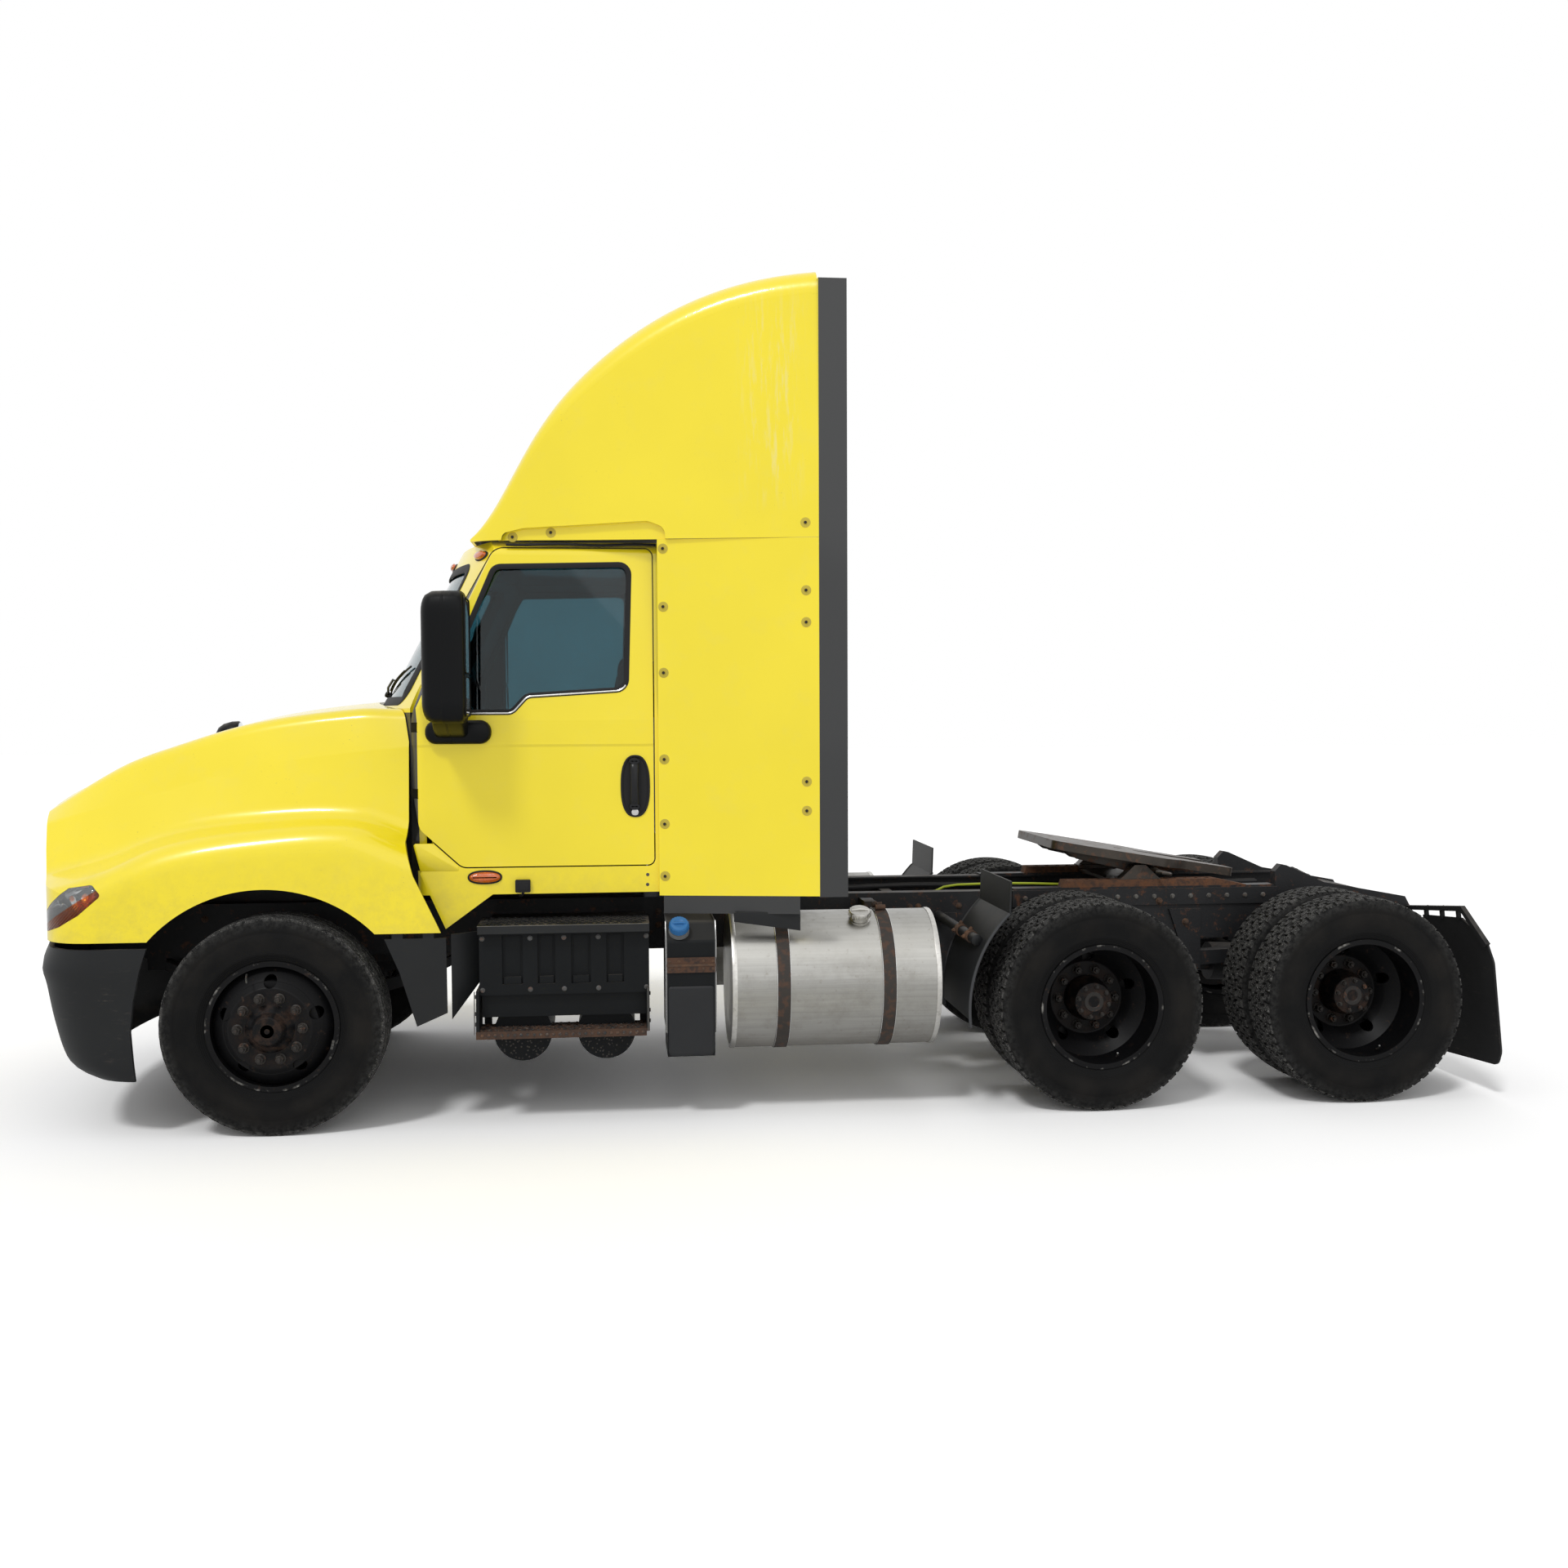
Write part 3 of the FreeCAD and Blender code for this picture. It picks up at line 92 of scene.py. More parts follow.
# ---------------------------------------------------------------- shader nodes
class Tree:
    def __init__(self, owner):
        owner.use_nodes = True
        self.nt = owner.node_tree

    def node(self, kind, how=None, **inputs):
        node = self.nt.nodes.new(kind)
        if how:
            node.operation = how
        for key, value in inputs.items():
            self.give(node.inputs[key.replace("_", " ")], value)
        return node

    def give(self, socket, value):
        if isinstance(value, bpy.types.NodeSocket):
            self.nt.links.new(value, socket)
        else:
            socket.default_value = value

    def give_all(self, node, *values):
        for socket, value in zip(node.inputs, values):
            self.give(socket, value)
        return node.outputs[0]

    def math(self, how, a, b=0.0):
        return self.give_all(self.node("ShaderNodeMath", how), a, b)

    def mix(self, kind, mask, a, b):
        node = self.node("ShaderNodeMix")
        node.data_type = kind
        first, out = (6, 2) if kind == "RGBA" else (2, 0)
        self.give(node.inputs[0], mask)
        self.give(node.inputs[first], a)
        self.give(node.inputs[first + 1], b)
        return node.outputs[out]


# ---------------------------------------------------------------- camera, floor, light
CAMERA_AT = P(-1570, 8415, 1924)
CAMERA_RIGHT = Vector((-0.99427, 0.10684, -0.00438))
CAMERA_LOOK = Vector((-0.10653, -0.99324, -0.04613))
FLOOR_REACH = 70.0
# name, turn about x, y and z in degrees, strength, spread in degrees
SUNS = (("key", (38, 0, 148), 1.0, 10), ("fill", (62, 0, 200), 0.25, 50))


def camera():
    look = CAMERA_LOOK.normalized()
    right = (CAMERA_RIGHT - look * CAMERA_RIGHT.dot(look)).normalized()
    data = bpy.data.cameras.new("camera")
    data.lens, data.sensor_width = 35.74, 36.0
    obj = link("camera", data)
    rows = zip(right, right.cross(look), -look, CAMERA_AT)
    obj.matrix_world = Matrix([*rows, (0, 0, 0, 1)])
    bpy.context.scene.camera = obj


def studio():
    """A sky that is plain white to the camera, mirrors and glass, two suns and a pale floor."""
    scene = bpy.context.scene
    scene.view_settings.view_transform = "Standard"
    scene.world = bpy.data.worlds.new("studio")
    sky = Tree(scene.world)
    sky.nt.nodes.clear()
    ray = sky.node("ShaderNodeLightPath").outputs
    seen = sky.math("MAXIMUM", ray["Is Camera Ray"], ray["Is Glossy Ray"])
    seen = sky.math("MAXIMUM", seen, ray["Is Transmission Ray"])
    light, white = [sky.node("ShaderNodeBackground", Color=(1, 1, 1, 1), Strength=level).outputs[0]
                    for level in (0.6, 1.0)]
    shown = sky.give_all(sky.node("ShaderNodeMixShader"), seen, light, white)
    sky.node("ShaderNodeOutputWorld", Surface=shown)
    for name, turn, energy, spread in SUNS:
        lamp = bpy.data.lights.new(name, "SUN")
        lamp.energy, lamp.angle = energy, math.radians(spread)
        link(name, lamp).rotation_euler = [math.radians(a) for a in turn]
    mesh = bpy.data.meshes.new("floor")
    r = FLOOR_REACH
    mesh.from_pydata([(-r, -r, 0), (r, -r, 0), (r, r, 0), (-r, r, 0)], [], [(0, 1, 2, 3)])
    floor = link("floor", mesh)
    floor.location.z = -0.001
    mesh.materials.append(bpy.data.materials.new("floor"))
    paint = Tree(mesh.materials[0])
    ray = paint.node("ShaderNodeLightPath").outputs["Is Camera Ray"]
    shader = paint.nt.nodes["Principled BSDF"].inputs
    paint.give(shader["Base Color"], paint.mix("RGBA", ray, (0.9, 0.9, 0.9, 1), (1.24, 1.24, 1.24, 1)))
    shader["Roughness"].default_value = 1.0
    shader["Specular IOR Level"].default_value = 0.0


# ---------------------------------------------------------------- materials
class Look(Tree):
    """A material: a base, then layers of dirt, rust or another finish through masks. In metres."""

    def __init__(self, name, color, rough, metallic=0.0, **fixed):
        self.mat = bpy.data.materials.new(name)
        super().__init__(self.mat)
        self.shader = self.nt.nodes["Principled BSDF"].inputs
        for key, value in fixed.items():
            self.shader[key.replace("_", " ")].default_value = value
        self.where = self.node("ShaderNodeTexCoord").outputs["Object"]
        self.x, self.y, self.z = self.node("ShaderNodeSeparateXYZ", Vector=self.where).outputs
        self.color, self.rough, self.metal = self.rgb(color), rough, metallic
        self.height = None

    def rgb(self, color):
        node = self.node("ShaderNodeRGB")
        node.outputs[0].default_value = (*color, 1)
        return node.outputs[0]

    def over(self, value, limit):
        return self.math("GREATER_THAN", value, limit)

    def under(self, value, limit):
        return self.math("LESS_THAN", value, limit)

    def size(self, value):
        return self.math("ABSOLUTE", value)

    def wave(self, value, rate):
        return self.math("SINE", self.math("MULTIPLY", value, rate))

    def stretched(self, *factors):
        return self.give_all(self.node("ShaderNodeVectorMath", "MULTIPLY"), self.where, factors)

    def noise(self, scale, detail=4.0, grain=0.55, where=None):
        return self.node("ShaderNodeTexNoise", Vector=where or self.where, Scale=scale, Detail=detail,
                         Roughness=grain).outputs["Fac"]

    def cells(self, scale):
        return self.node("ShaderNodeTexVoronoi", Vector=self.where, Scale=scale).outputs["Distance"]

    def span(self, value, low, high, to_low=0.0, to_high=1.0):
        return self.give_all(self.node("ShaderNodeMapRange"), value, low, high, to_low, to_high)

    def within(self, value, low, high, soft=0.002):
        return self.times(self.span(value, low - soft, low + soft),
                          self.span(value, high + soft, high - soft))

    def times(self, *masks):
        whole = masks[0]
        for mask in masks[1:]:
            whole = self.math("MULTIPLY", whole, mask)
        return whole

    def layer(self, mask, color=None, rough=None, metallic=None):
        if color is not None:
            self.color = self.mix("RGBA", mask, self.color, self.rgb(color))
        if rough is not None:
            self.rough = self.mix("FLOAT", mask, self.rough, rough)
        if metallic is not None:
            self.metal = self.mix("FLOAT", mask, self.metal, metallic)
        return self

    def spots(self, noise, edges, amount, *finish, only=None):
        """Another finish in the patches where a noise passes between two edges."""
        mask = self.span(self.noise(*noise), *edges)
        mask = mask if only is None else self.times(only, mask)
        return self.layer(self.times(mask, amount), *finish)

    def shade(self, value, amount):
        """Lighter and darker patches."""
        value = self.span(value, 0.3, 0.7, 1 - amount, 1 + amount)
        self.color = self.node("ShaderNodeHueSaturation", Value=value, Color=self.color).outputs[0]
        return self

    def bump(self, value, distance, strength=1.0):
        node = self.node("ShaderNodeBump", Height=value, Distance=distance, Strength=strength)
        if self.height is not None:
            self.give(node.inputs["Normal"], self.height)
        self.height = node.outputs[0]
        return self

    def facing(self):
        return self.node("ShaderNodeNewGeometry").outputs["Normal"]

    def facing_in(self, centre):
        """1 where a surface faces the given middle point."""
        away = self.give_all(self.node("ShaderNodeVectorMath", "SUBTRACT"), self.where, centre)
        dot = self.node("ShaderNodeVectorMath", "DOT_PRODUCT")
        self.give_all(dot, away, self.facing())
        return self.under(dot.outputs["Value"], 0.0)

    def up_facing(self):
        return self.span(self.node("ShaderNodeSeparateXYZ", Vector=self.facing()).outputs[2], 0.5, 0.95)

    def wheel_radius(self):
        """Distance from the nearest axle line."""
        best = None
        dz = self.math("SUBTRACT", self.z, WHEEL_Z)
        for wheel in ("front", "drive1", "drive2"):
            dx = self.math("SUBTRACT", self.x, middle("rim_" + wheel + "_left").x)
            r = self.math("SQRT", self.math("ADD", self.times(dx, dx), self.times(dz, dz)))
            best = r if best is None else self.math("MINIMUM", best, r)
        return best

    def woven(self):
        rate = 1500.0
        weave = self.math("ADD", self.wave(self.y, rate), self.wave(self.math("ADD", self.x, self.z), rate))
        return self.bump(weave, 0.0005, 0.6)

    def done(self):
        self.give(self.shader["Base Color"], self.color)
        self.give(self.shader["Roughness"], self.rough)
        self.give(self.shader["Metallic"], self.metal)
        if self.height is not None:
            self.give(self.shader["Normal"], self.height)
        return self.mat


YELLOW = (0.97, 0.785, 0.01)
DUST = (0.21, 0.19, 0.16)
RUST = (0.19, 0.075, 0.032)
DARK = (0.012, 0.013, 0.015)
CAB_FLOOR, SKIRT = 1.079, 1.0595
TRIM_X = -2512
STRAPS = (-2342, -2845)


def yellow_base(name):
    m = Look(name, YELLOW, 0.3, Coat_Weight=0.6, Coat_Roughness=0.08)
    m.shade(m.noise(1.3, 3), 0.03)
    m.spots((7, 6, 0.7), (0.52, 0.75), 0.16, (0.86, 0.72, 0.12), 0.45)
    return m.bump(m.noise(42, 2), 0.0006, 0.25)


def low_dirt(m):
    return m.spots((11, 7, 0.72), (0.42, 0.68), 0.3, (0.42, 0.33, 0.08), 0.6, only=m.span(m.z, 1.35, 0.9))


def yellow(name, inside=None, lining=DARK, streaks=False):
    m = low_dirt(yellow_base(name))
    m.spots((160, 2), (0.7, 0.74), 0.55, (0.2, 0.15, 0.05), 0.7, only=m.span(m.noise(5, 2), 0.5, 0.65))
    if streaks:
        band = m.times(m.within(m.x, X(-2420), X(-2180), 0.06), m.within(m.z, 2.95, 3.82, 0.1))
        run = m.span(m.noise(1.0, 5, 0.75, m.stretched(46, 8, 5)), 0.5, 0.66)
        m.layer(m.times(band, run, 0.55), (0.9, 0.8, 0.3), 0.55)
    if inside is not None:
        m.layer(m.facing_in(inside), lining, 0.75)
    return m.done()


def extender_look(name):
    m = yellow_base(name)
    trim = m.under(m.x, X(TRIM_X))
    black = m.math("MAXIMUM", trim, m.under(m.z, SKIRT))
    black = m.math("MAXIMUM", black, m.facing_in(P(-2200, 0, 1900)))
    m.layer(black, (0.0085, 0.0095, 0.0105), 0.55)
    m.bump(m.times(m.noise(1.0, 3, 0.55, m.stretched(300, 300, 2)), trim), 0.0008, 0.5)
    return m.done()


def door_look(name):
    """Painted outside with a crease under the window, dark further in than the outer skin."""
    m = yellow_base(name)
    m.bump(m.span(m.z, 1.766, 1.778), 0.006, 0.8)
    depth = m.math("SUBTRACT", m.span(m.z, 1.89, 2.695, 1.03, 0.975), m.size(m.y))
    m.layer(m.over(depth, 0.012), (0.03, 0.03, 0.033), 0.7)
    return m.done()


def cab_look(name):
    m = low_dirt(yellow_base(name))
    inside = m.facing_in(P(-1230, 0, 1850))
    m.layer(inside, (0.045, 0.046, 0.05), 0.8)
    m.layer(m.times(inside, m.under(m.z, 1.16)), (0.02, 0.02, 0.021), 0.9)
    # underside of the cab between the sills, and the front wall under the hood
    m.layer(m.times(m.under(m.z, CAB_FLOOR), m.under(m.size(m.y), 0.968)), DARK, 0.7)
    m.layer(m.times(m.over(m.x, X(-640)), m.under(m.z, 1.93)), DARK, 0.7)
    return m.done()


def plastic(name, color=(0.0125, 0.0135, 0.0145), rough=0.52, scuffs=0.0, dust=0.25):
    m = Look(name, color, rough, Specular_IOR_Level=0.25)
    m.shade(m.noise(3.1, 5), 0.12)
    m.spots((9, 6), (0.38, 0.62), dust, DUST, 0.8, only=m.up_facing())
    if scuffs:
        lines = m.span(m.noise(1.0, 7, 0.8, m.stretched(10, 10, 55)), 0.57, 0.7)
        low = m.times(lines, m.span(m.z, 0.85, 0.25))
        m.spots((3.4, 4), (0.47, 0.62), scuffs, (0.19, 0.15, 0.12), 0.85, only=low)
    m.bump(m.noise(620, 2), 0.0004, 0.6)
    m.bump(m.noise(6, 3), 0.002, 0.15)
    return m.done()


def frame_paint(name, rust=0.5, color=(0.014, 0.0145, 0.016)):
    m = Look(name, color, 0.5, Specular_IOR_Level=0.3)
    m.shade(m.noise(4, 5), 0.2)
    m.spots((17, 8, 0.75), (0.56, 0.66), rust, RUST, 0.85)
    m.spots((7, 7, 0.7), (0.36, 0.6), 0.5, (0.13, 0.115, 0.1), 0.9, only=m.up_facing())
    return m.bump(m.noise(90, 6), 0.0012, 0.45).done()


def rusty(name, color=(0.13, 0.062, 0.034), dark=0.7):
    m = Look(name, color, 0.86, Specular_IOR_Level=0.3)
    m.spots((23, 8, 0.7), (0.46, 0.68), 0.7, (0.2, 0.095, 0.045))
    m.spots((9, 6), (0.44, 0.6), dark, (0.03, 0.026, 0.024), 0.7)
    return m.bump(m.noise(140, 8, 0.7), 0.0018, 0.8).done()


def worn_steel(name, color, rough=0.4, grease=0.6):
    m = Look(name, color, rough, 0.85)
    m.spots((6, 6), (0.42, 0.58), grease, (0.022, 0.018, 0.014), 0.35, 0.1)
    m.spots((30, 8), (0.55, 0.68), 0.5, RUST, 0.85, 0.0)
    return m.bump(m.noise(1.0, 5, 0.55, m.stretched(20, 180, 20)), 0.0008, 0.4).done()


def tyre_rubber(name, tread=False):
    m = Look(name, (0.0045, 0.0046, 0.0048), 0.78, Specular_IOR_Level=0.15)
    r = m.wheel_radius()
    m.shade(m.noise(4, 5), 0.2)
    m.spots((5, 6), (0.4, 0.65), 0.3, (0.03, 0.026, 0.022), 0.8, only=m.within(r, 0.35, 0.46, 0.03))
    m.spots((36, 7, 0.75), (0.4, 0.62), 0.55 if tread else 0.3, (0.13, 0.128, 0.122), 0.92,
            only=m.span(r, 0.44, 0.5))
    if tread:
        m.spots((210, 3), (0.6, 0.66), 0.8, (0.36, 0.35, 0.33), 0.9, only=m.span(r, 0.485, 0.5))
    m.bump(m.times(m.wave(r, 820.0), m.within(r, 0.30, 0.345, 0.01)), 0.0006, 0.7)
    m.bump(m.times(m.wave(r, 1900.0), m.within(r, 0.385, 0.43, 0.006)), 0.0003, 0.4)
    return m.bump(m.noise(260, 4), 0.0004, 0.4).done()


def wheel_paint(name):
    m = Look(name, (0.0035, 0.0035, 0.004), 0.45, Specular_IOR_Level=0.15)
    r = m.wheel_radius()
    m.shade(m.noise(8, 5), 0.25)
    m.spots((14, 7, 0.7), (0.45, 0.62), 0.55, (0.06, 0.034, 0.023), 0.85, only=m.span(r, 0.19, 0.1))
    m.spots((24, 8, 0.75), (0.6, 0.7), 0.45, (0.1, 0.06, 0.04), 0.85)
    m.spots((19, 6), (0.55, 0.68), 0.8, (0.3, 0.29, 0.27), 0.45, 0.6, only=m.within(r, 0.292, 0.32, 0.003))
    return m.bump(m.noise(110, 5), 0.0007, 0.4).done()


def tank_metal(name):
    m = Look(name, (0.37, 0.365, 0.345), 0.34, 1.0)
    m.shade(m.noise(1.0, 6, 0.7, m.stretched(1.2, 60, 60)), 0.13)
    m.spots((6, 6, 0.7), (0.46, 0.66), 0.45, (0.25, 0.24, 0.215), 0.5)
    # painted highlight: a lighter, glossier band along the upper side of the tank
    m.layer(m.times(m.within(m.z, 0.78, 0.9, 0.05), 0.5), (0.62, 0.61, 0.57), 0.3)
    m.spots((45, 5), (0.62, 0.7), 0.25, (0.2, 0.17, 0.13), 0.7, 0.3)
    # painted shade: darker towards the tank's bottom, in a browner, rougher tone
    m.layer(m.times(m.span(m.z, 0.42, 0.3), 0.5), (0.16, 0.14, 0.12), 0.75, 0.2)
    for x in STRAPS:
        band = m.within(m.x, X(x - 30.5), X(x + 30.5), 0.0005)
        m.layer(band, (0.03, 0.024, 0.02), 0.75, 0.0)
        m.spots((30, 6), (0.5, 0.62), 0.25, RUST, 0.9, 0.0, only=band)
    m.layer(m.under(m.size(m.y), 0.54), (0.014, 0.0145, 0.016), 0.5, 0.0)
    m.bump(m.noise(1.0, 4, 0.55, m.stretched(4, 260, 260)), 0.0002, 0.35)
    return m.bump(m.noise(3.2, 2), 0.003, 0.2).done()


def glass(name, tint):
    m = Look(name, tint, 0.02, Transmission_Weight=1.0, IOR=1.45)
    m.shade(m.noise(2.2, 3), 0.05)
    return m.spots((5, 6, 0.7), (0.55, 0.8), 0.2, None, 0.06).done()


def plate_lens(name):
    m = Look(name, (0.7, 0.72, 0.72), 0.12, Coat_Weight=0.7, Emission_Strength=0.0)
    m.shade(m.noise(30, 2), 0.1)
    m.bump(m.wave(m.x, 900.0), 0.0008, 0.6)
    return m.bump(m.wave(m.z, 900.0), 0.0008, 0.6).done()


def bright(name, color=(0.62, 0.62, 0.61), rough=0.22):
    m = Look(name, color, rough, 1.0)
    m.shade(m.noise(40, 4), 0.08)
    m.spots((60, 6), (0.55, 0.7), 0.4, (0.25, 0.22, 0.19), 0.6)
    return m.bump(m.noise(200, 3), 0.0002, 0.3).done()


def cloth(name):
    m = Look(name, (0.03, 0.03, 0.034), 0.92, Sheen_Weight=0.25)
    m.shade(m.noise(14, 5), 0.14).woven()
    return m.bump(m.noise(30, 5), 0.002, 0.3).done()


def seat_cloth(name):
    m = Look(name, (0.042, 0.043, 0.048), 0.92, Sheen_Weight=0.3, Specular_IOR_Level=0.25)
    m.shade(m.noise(14, 5), 0.16).woven()
    m.spots((26, 6, 0.7), (0.55, 0.7), 0.25, (0.085, 0.08, 0.07), 0.95)
    return m.bump(m.noise(34, 5), 0.003, 0.35).done()


def seat_bolster(name):
    m = Look(name, (0.016, 0.016, 0.018), 0.6, Specular_IOR_Level=0.35)
    m.shade(m.noise(9, 4), 0.15)
    m.spots((12, 6), (0.5, 0.7), 0.2, (0.05, 0.045, 0.04), 0.75)
    return m.bump(m.cells(260), 0.0005, 0.5).done()


def def_look(name):
    """Side tank with a rusty strap and worn edges."""
    m = Look(name, (0.0065, 0.0075, 0.0085), 0.5, Specular_IOR_Level=0.15)
    m.shade(m.noise(5, 5), 0.15)
    m.layer(m.times(m.up_facing(), 0.3), DUST, 0.85)
    strap = m.times(m.within(m.z, 0.7045, 0.7765, 0.0005), m.over(m.y, 1.139))
    m.layer(strap, (0.09, 0.05, 0.034), 0.85)
    m.spots((40, 7), (0.48, 0.6), 1.0, (0.05, 0.035, 0.03), 0.8, only=strap)
    edge = m.over(m.size(m.math("SUBTRACT", m.x, X(-1907))), 0.1115)
    m.layer(m.times(edge, m.over(m.z, 0.419), 0.5), (0.2, 0.2, 0.2), 0.5, 0.6)
    return m.bump(m.noise(420, 2), 0.0004, 0.5).done()


def step_look(name):
    """Black box over a rusty step and the dusty drums below."""
    m = Look(name, (0.0055, 0.0065, 0.0075), 0.5, Specular_IOR_Level=0.15)
    m.shade(m.noise(5, 5), 0.15)
    m.spots((10, 7), (0.35, 0.6), 0.6, (0.15, 0.13, 0.11), 0.9, only=m.up_facing())
    low = m.under(m.z, 0.4545)
    step = m.times(low, m.over(m.z, 0.4175), m.over(m.size(m.y), 0.984))
    m.layer(step, (0.085, 0.05, 0.035), 0.86)
    m.spots((26, 8, 0.7), (0.45, 0.6), 1.0, (0.06, 0.04, 0.032), 0.8, only=step)
    dots = m.span(m.cells(70), 0.22, 0.34, 1.0, 0.0)
    m.layer(m.times(low, m.under(m.size(m.y), 1.061), dots, 0.55), (0.11, 0.1, 0.09), 0.8)
    return m.bump(m.noise(380, 2), 0.0004, 0.5).done()


def rail_look(name):
    m = Look(name, (0.012, 0.0125, 0.014), 0.5, Specular_IOR_Level=0.3)
    rack = m.over(m.z, 0.991)
    m.layer(rack, (0.14, 0.066, 0.036), 0.88)
    m.spots((30, 8, 0.7), (0.45, 0.6), 0.8, (0.05, 0.034, 0.028), 0.8, only=rack)
    m.spots((20, 8), (0.55, 0.66), 0.5, RUST, 0.88)
    return m.bump(m.noise(120, 8), 0.0016, 0.7).done()


# A point on the edge between clear and amber in the headlamp, and the way across that edge
LAMP_LINE = (738.0, 1114.0, 0.528, 0.85)


def lamp_edge(m):
    """Distance across the headlamp from its rear point, and a mask of its amber part."""
    x, z, along_x, along_z = LAMP_LINE
    along = m.math("ADD", m.times(m.math("SUBTRACT", m.x, X(x)), along_x),
                   m.times(m.math("SUBTRACT", m.z, z / 1000), along_z))
    return along, m.span(along, 0.034, 0.031)


def lens_look(name):
    """Clear lens with an amber band along its lower rear edge."""
    m = Look(name, (0.82, 0.85, 0.86), 0.04, IOR=1.45, Transmission_Weight=0.9)
    along, amber = lamp_edge(m)
    m.layer(amber, (0.9, 0.2, 0.015), 0.12)
    m.bump(m.times(m.wave(m.math("ADD", m.x, m.z), 420.0), m.span(along, 0.036, 0.03)), 0.0012, 0.6)
    return m.spots((22, 6), (0.5, 0.75), 0.12, (0.5, 0.5, 0.46), 0.25).done()


def housing_look(name):
    m = Look(name, (0.09, 0.092, 0.095), 0.3, 0.6)
    along, amber = lamp_edge(m)
    m.layer(amber, (0.75, 0.17, 0.02), 0.3, 0.2)
    m.shade(m.noise(25, 3), 0.12)
    return m.bump(m.wave(along, 700.0), 0.001, 0.4).done()


def colored_lens(name, color, through, grain, cells, painted_glow, ribs):
    """Ribbed lens; the cells give (scale, low, high, amount) of a painted glow: lighter colour at the middle
    of each cell.
    """
    m = Look(name, color, 0.12, Coat_Weight=0.8, Coat_Roughness=0.03, Transmission_Weight=through)
    m.shade(m.noise(grain, 2), 0.15)
    axis, rate = ribs
    m.bump(m.wave(getattr(m, axis), rate), 0.0006, 0.5)
    scale, low, high, amount = cells
    # painted glow: lighter colour at the middle of each cell of the lens
    return m.layer(m.span(m.cells(scale), low, high, amount, 0.0), painted_glow, 0.15).done()


def mirror_look(name):
    """Black housing with a step down its outer edge."""
    m = Look(name, (0.0018, 0.0022, 0.0028), 0.38, Specular_IOR_Level=0.15)
    m.shade(m.noise(4, 4), 0.15)
    m.spots((12, 6), (0.4, 0.65), 0.3, DUST, 0.8, only=m.up_facing())
    m.bump(m.span(m.x, X(-812), X(-800)), 0.007, 0.9)
    return m.bump(m.noise(540, 2), 0.0003, 0.4).done()


def mirror_glass(name):
    m = Look(name, (0.72, 0.76, 0.78), 0.03, 1.0)
    m.shade(m.noise(3, 2), 0.03)
    return m.spots((30, 6), (0.55, 0.7), 0.2, (0.4, 0.4, 0.38), 0.3).done()


def tread_look(name):
    """Black step surface with rust along its teeth."""
    m = Look(name, (0.03, 0.029, 0.029), 0.6, 0.3)
    m.spots((34, 8, 0.75), (0.46, 0.6), 1.0, (0.13, 0.066, 0.036), 0.88, 0.0)
    m.spots((60, 5), (0.55, 0.66), 0.6, (0.2, 0.19, 0.17), 0.6, 0.3)
    return m.bump(m.noise(160, 7), 0.001, 0.7).done()


def dial_look(name):
    m = Look(name, (0.02, 0.02, 0.022), 0.35, Coat_Weight=0.5, Coat_Roughness=0.05)
    return m.spots((90, 2), (0.6, 0.64), 1.0, (0.05, 0.05, 0.055), 0.4).done()


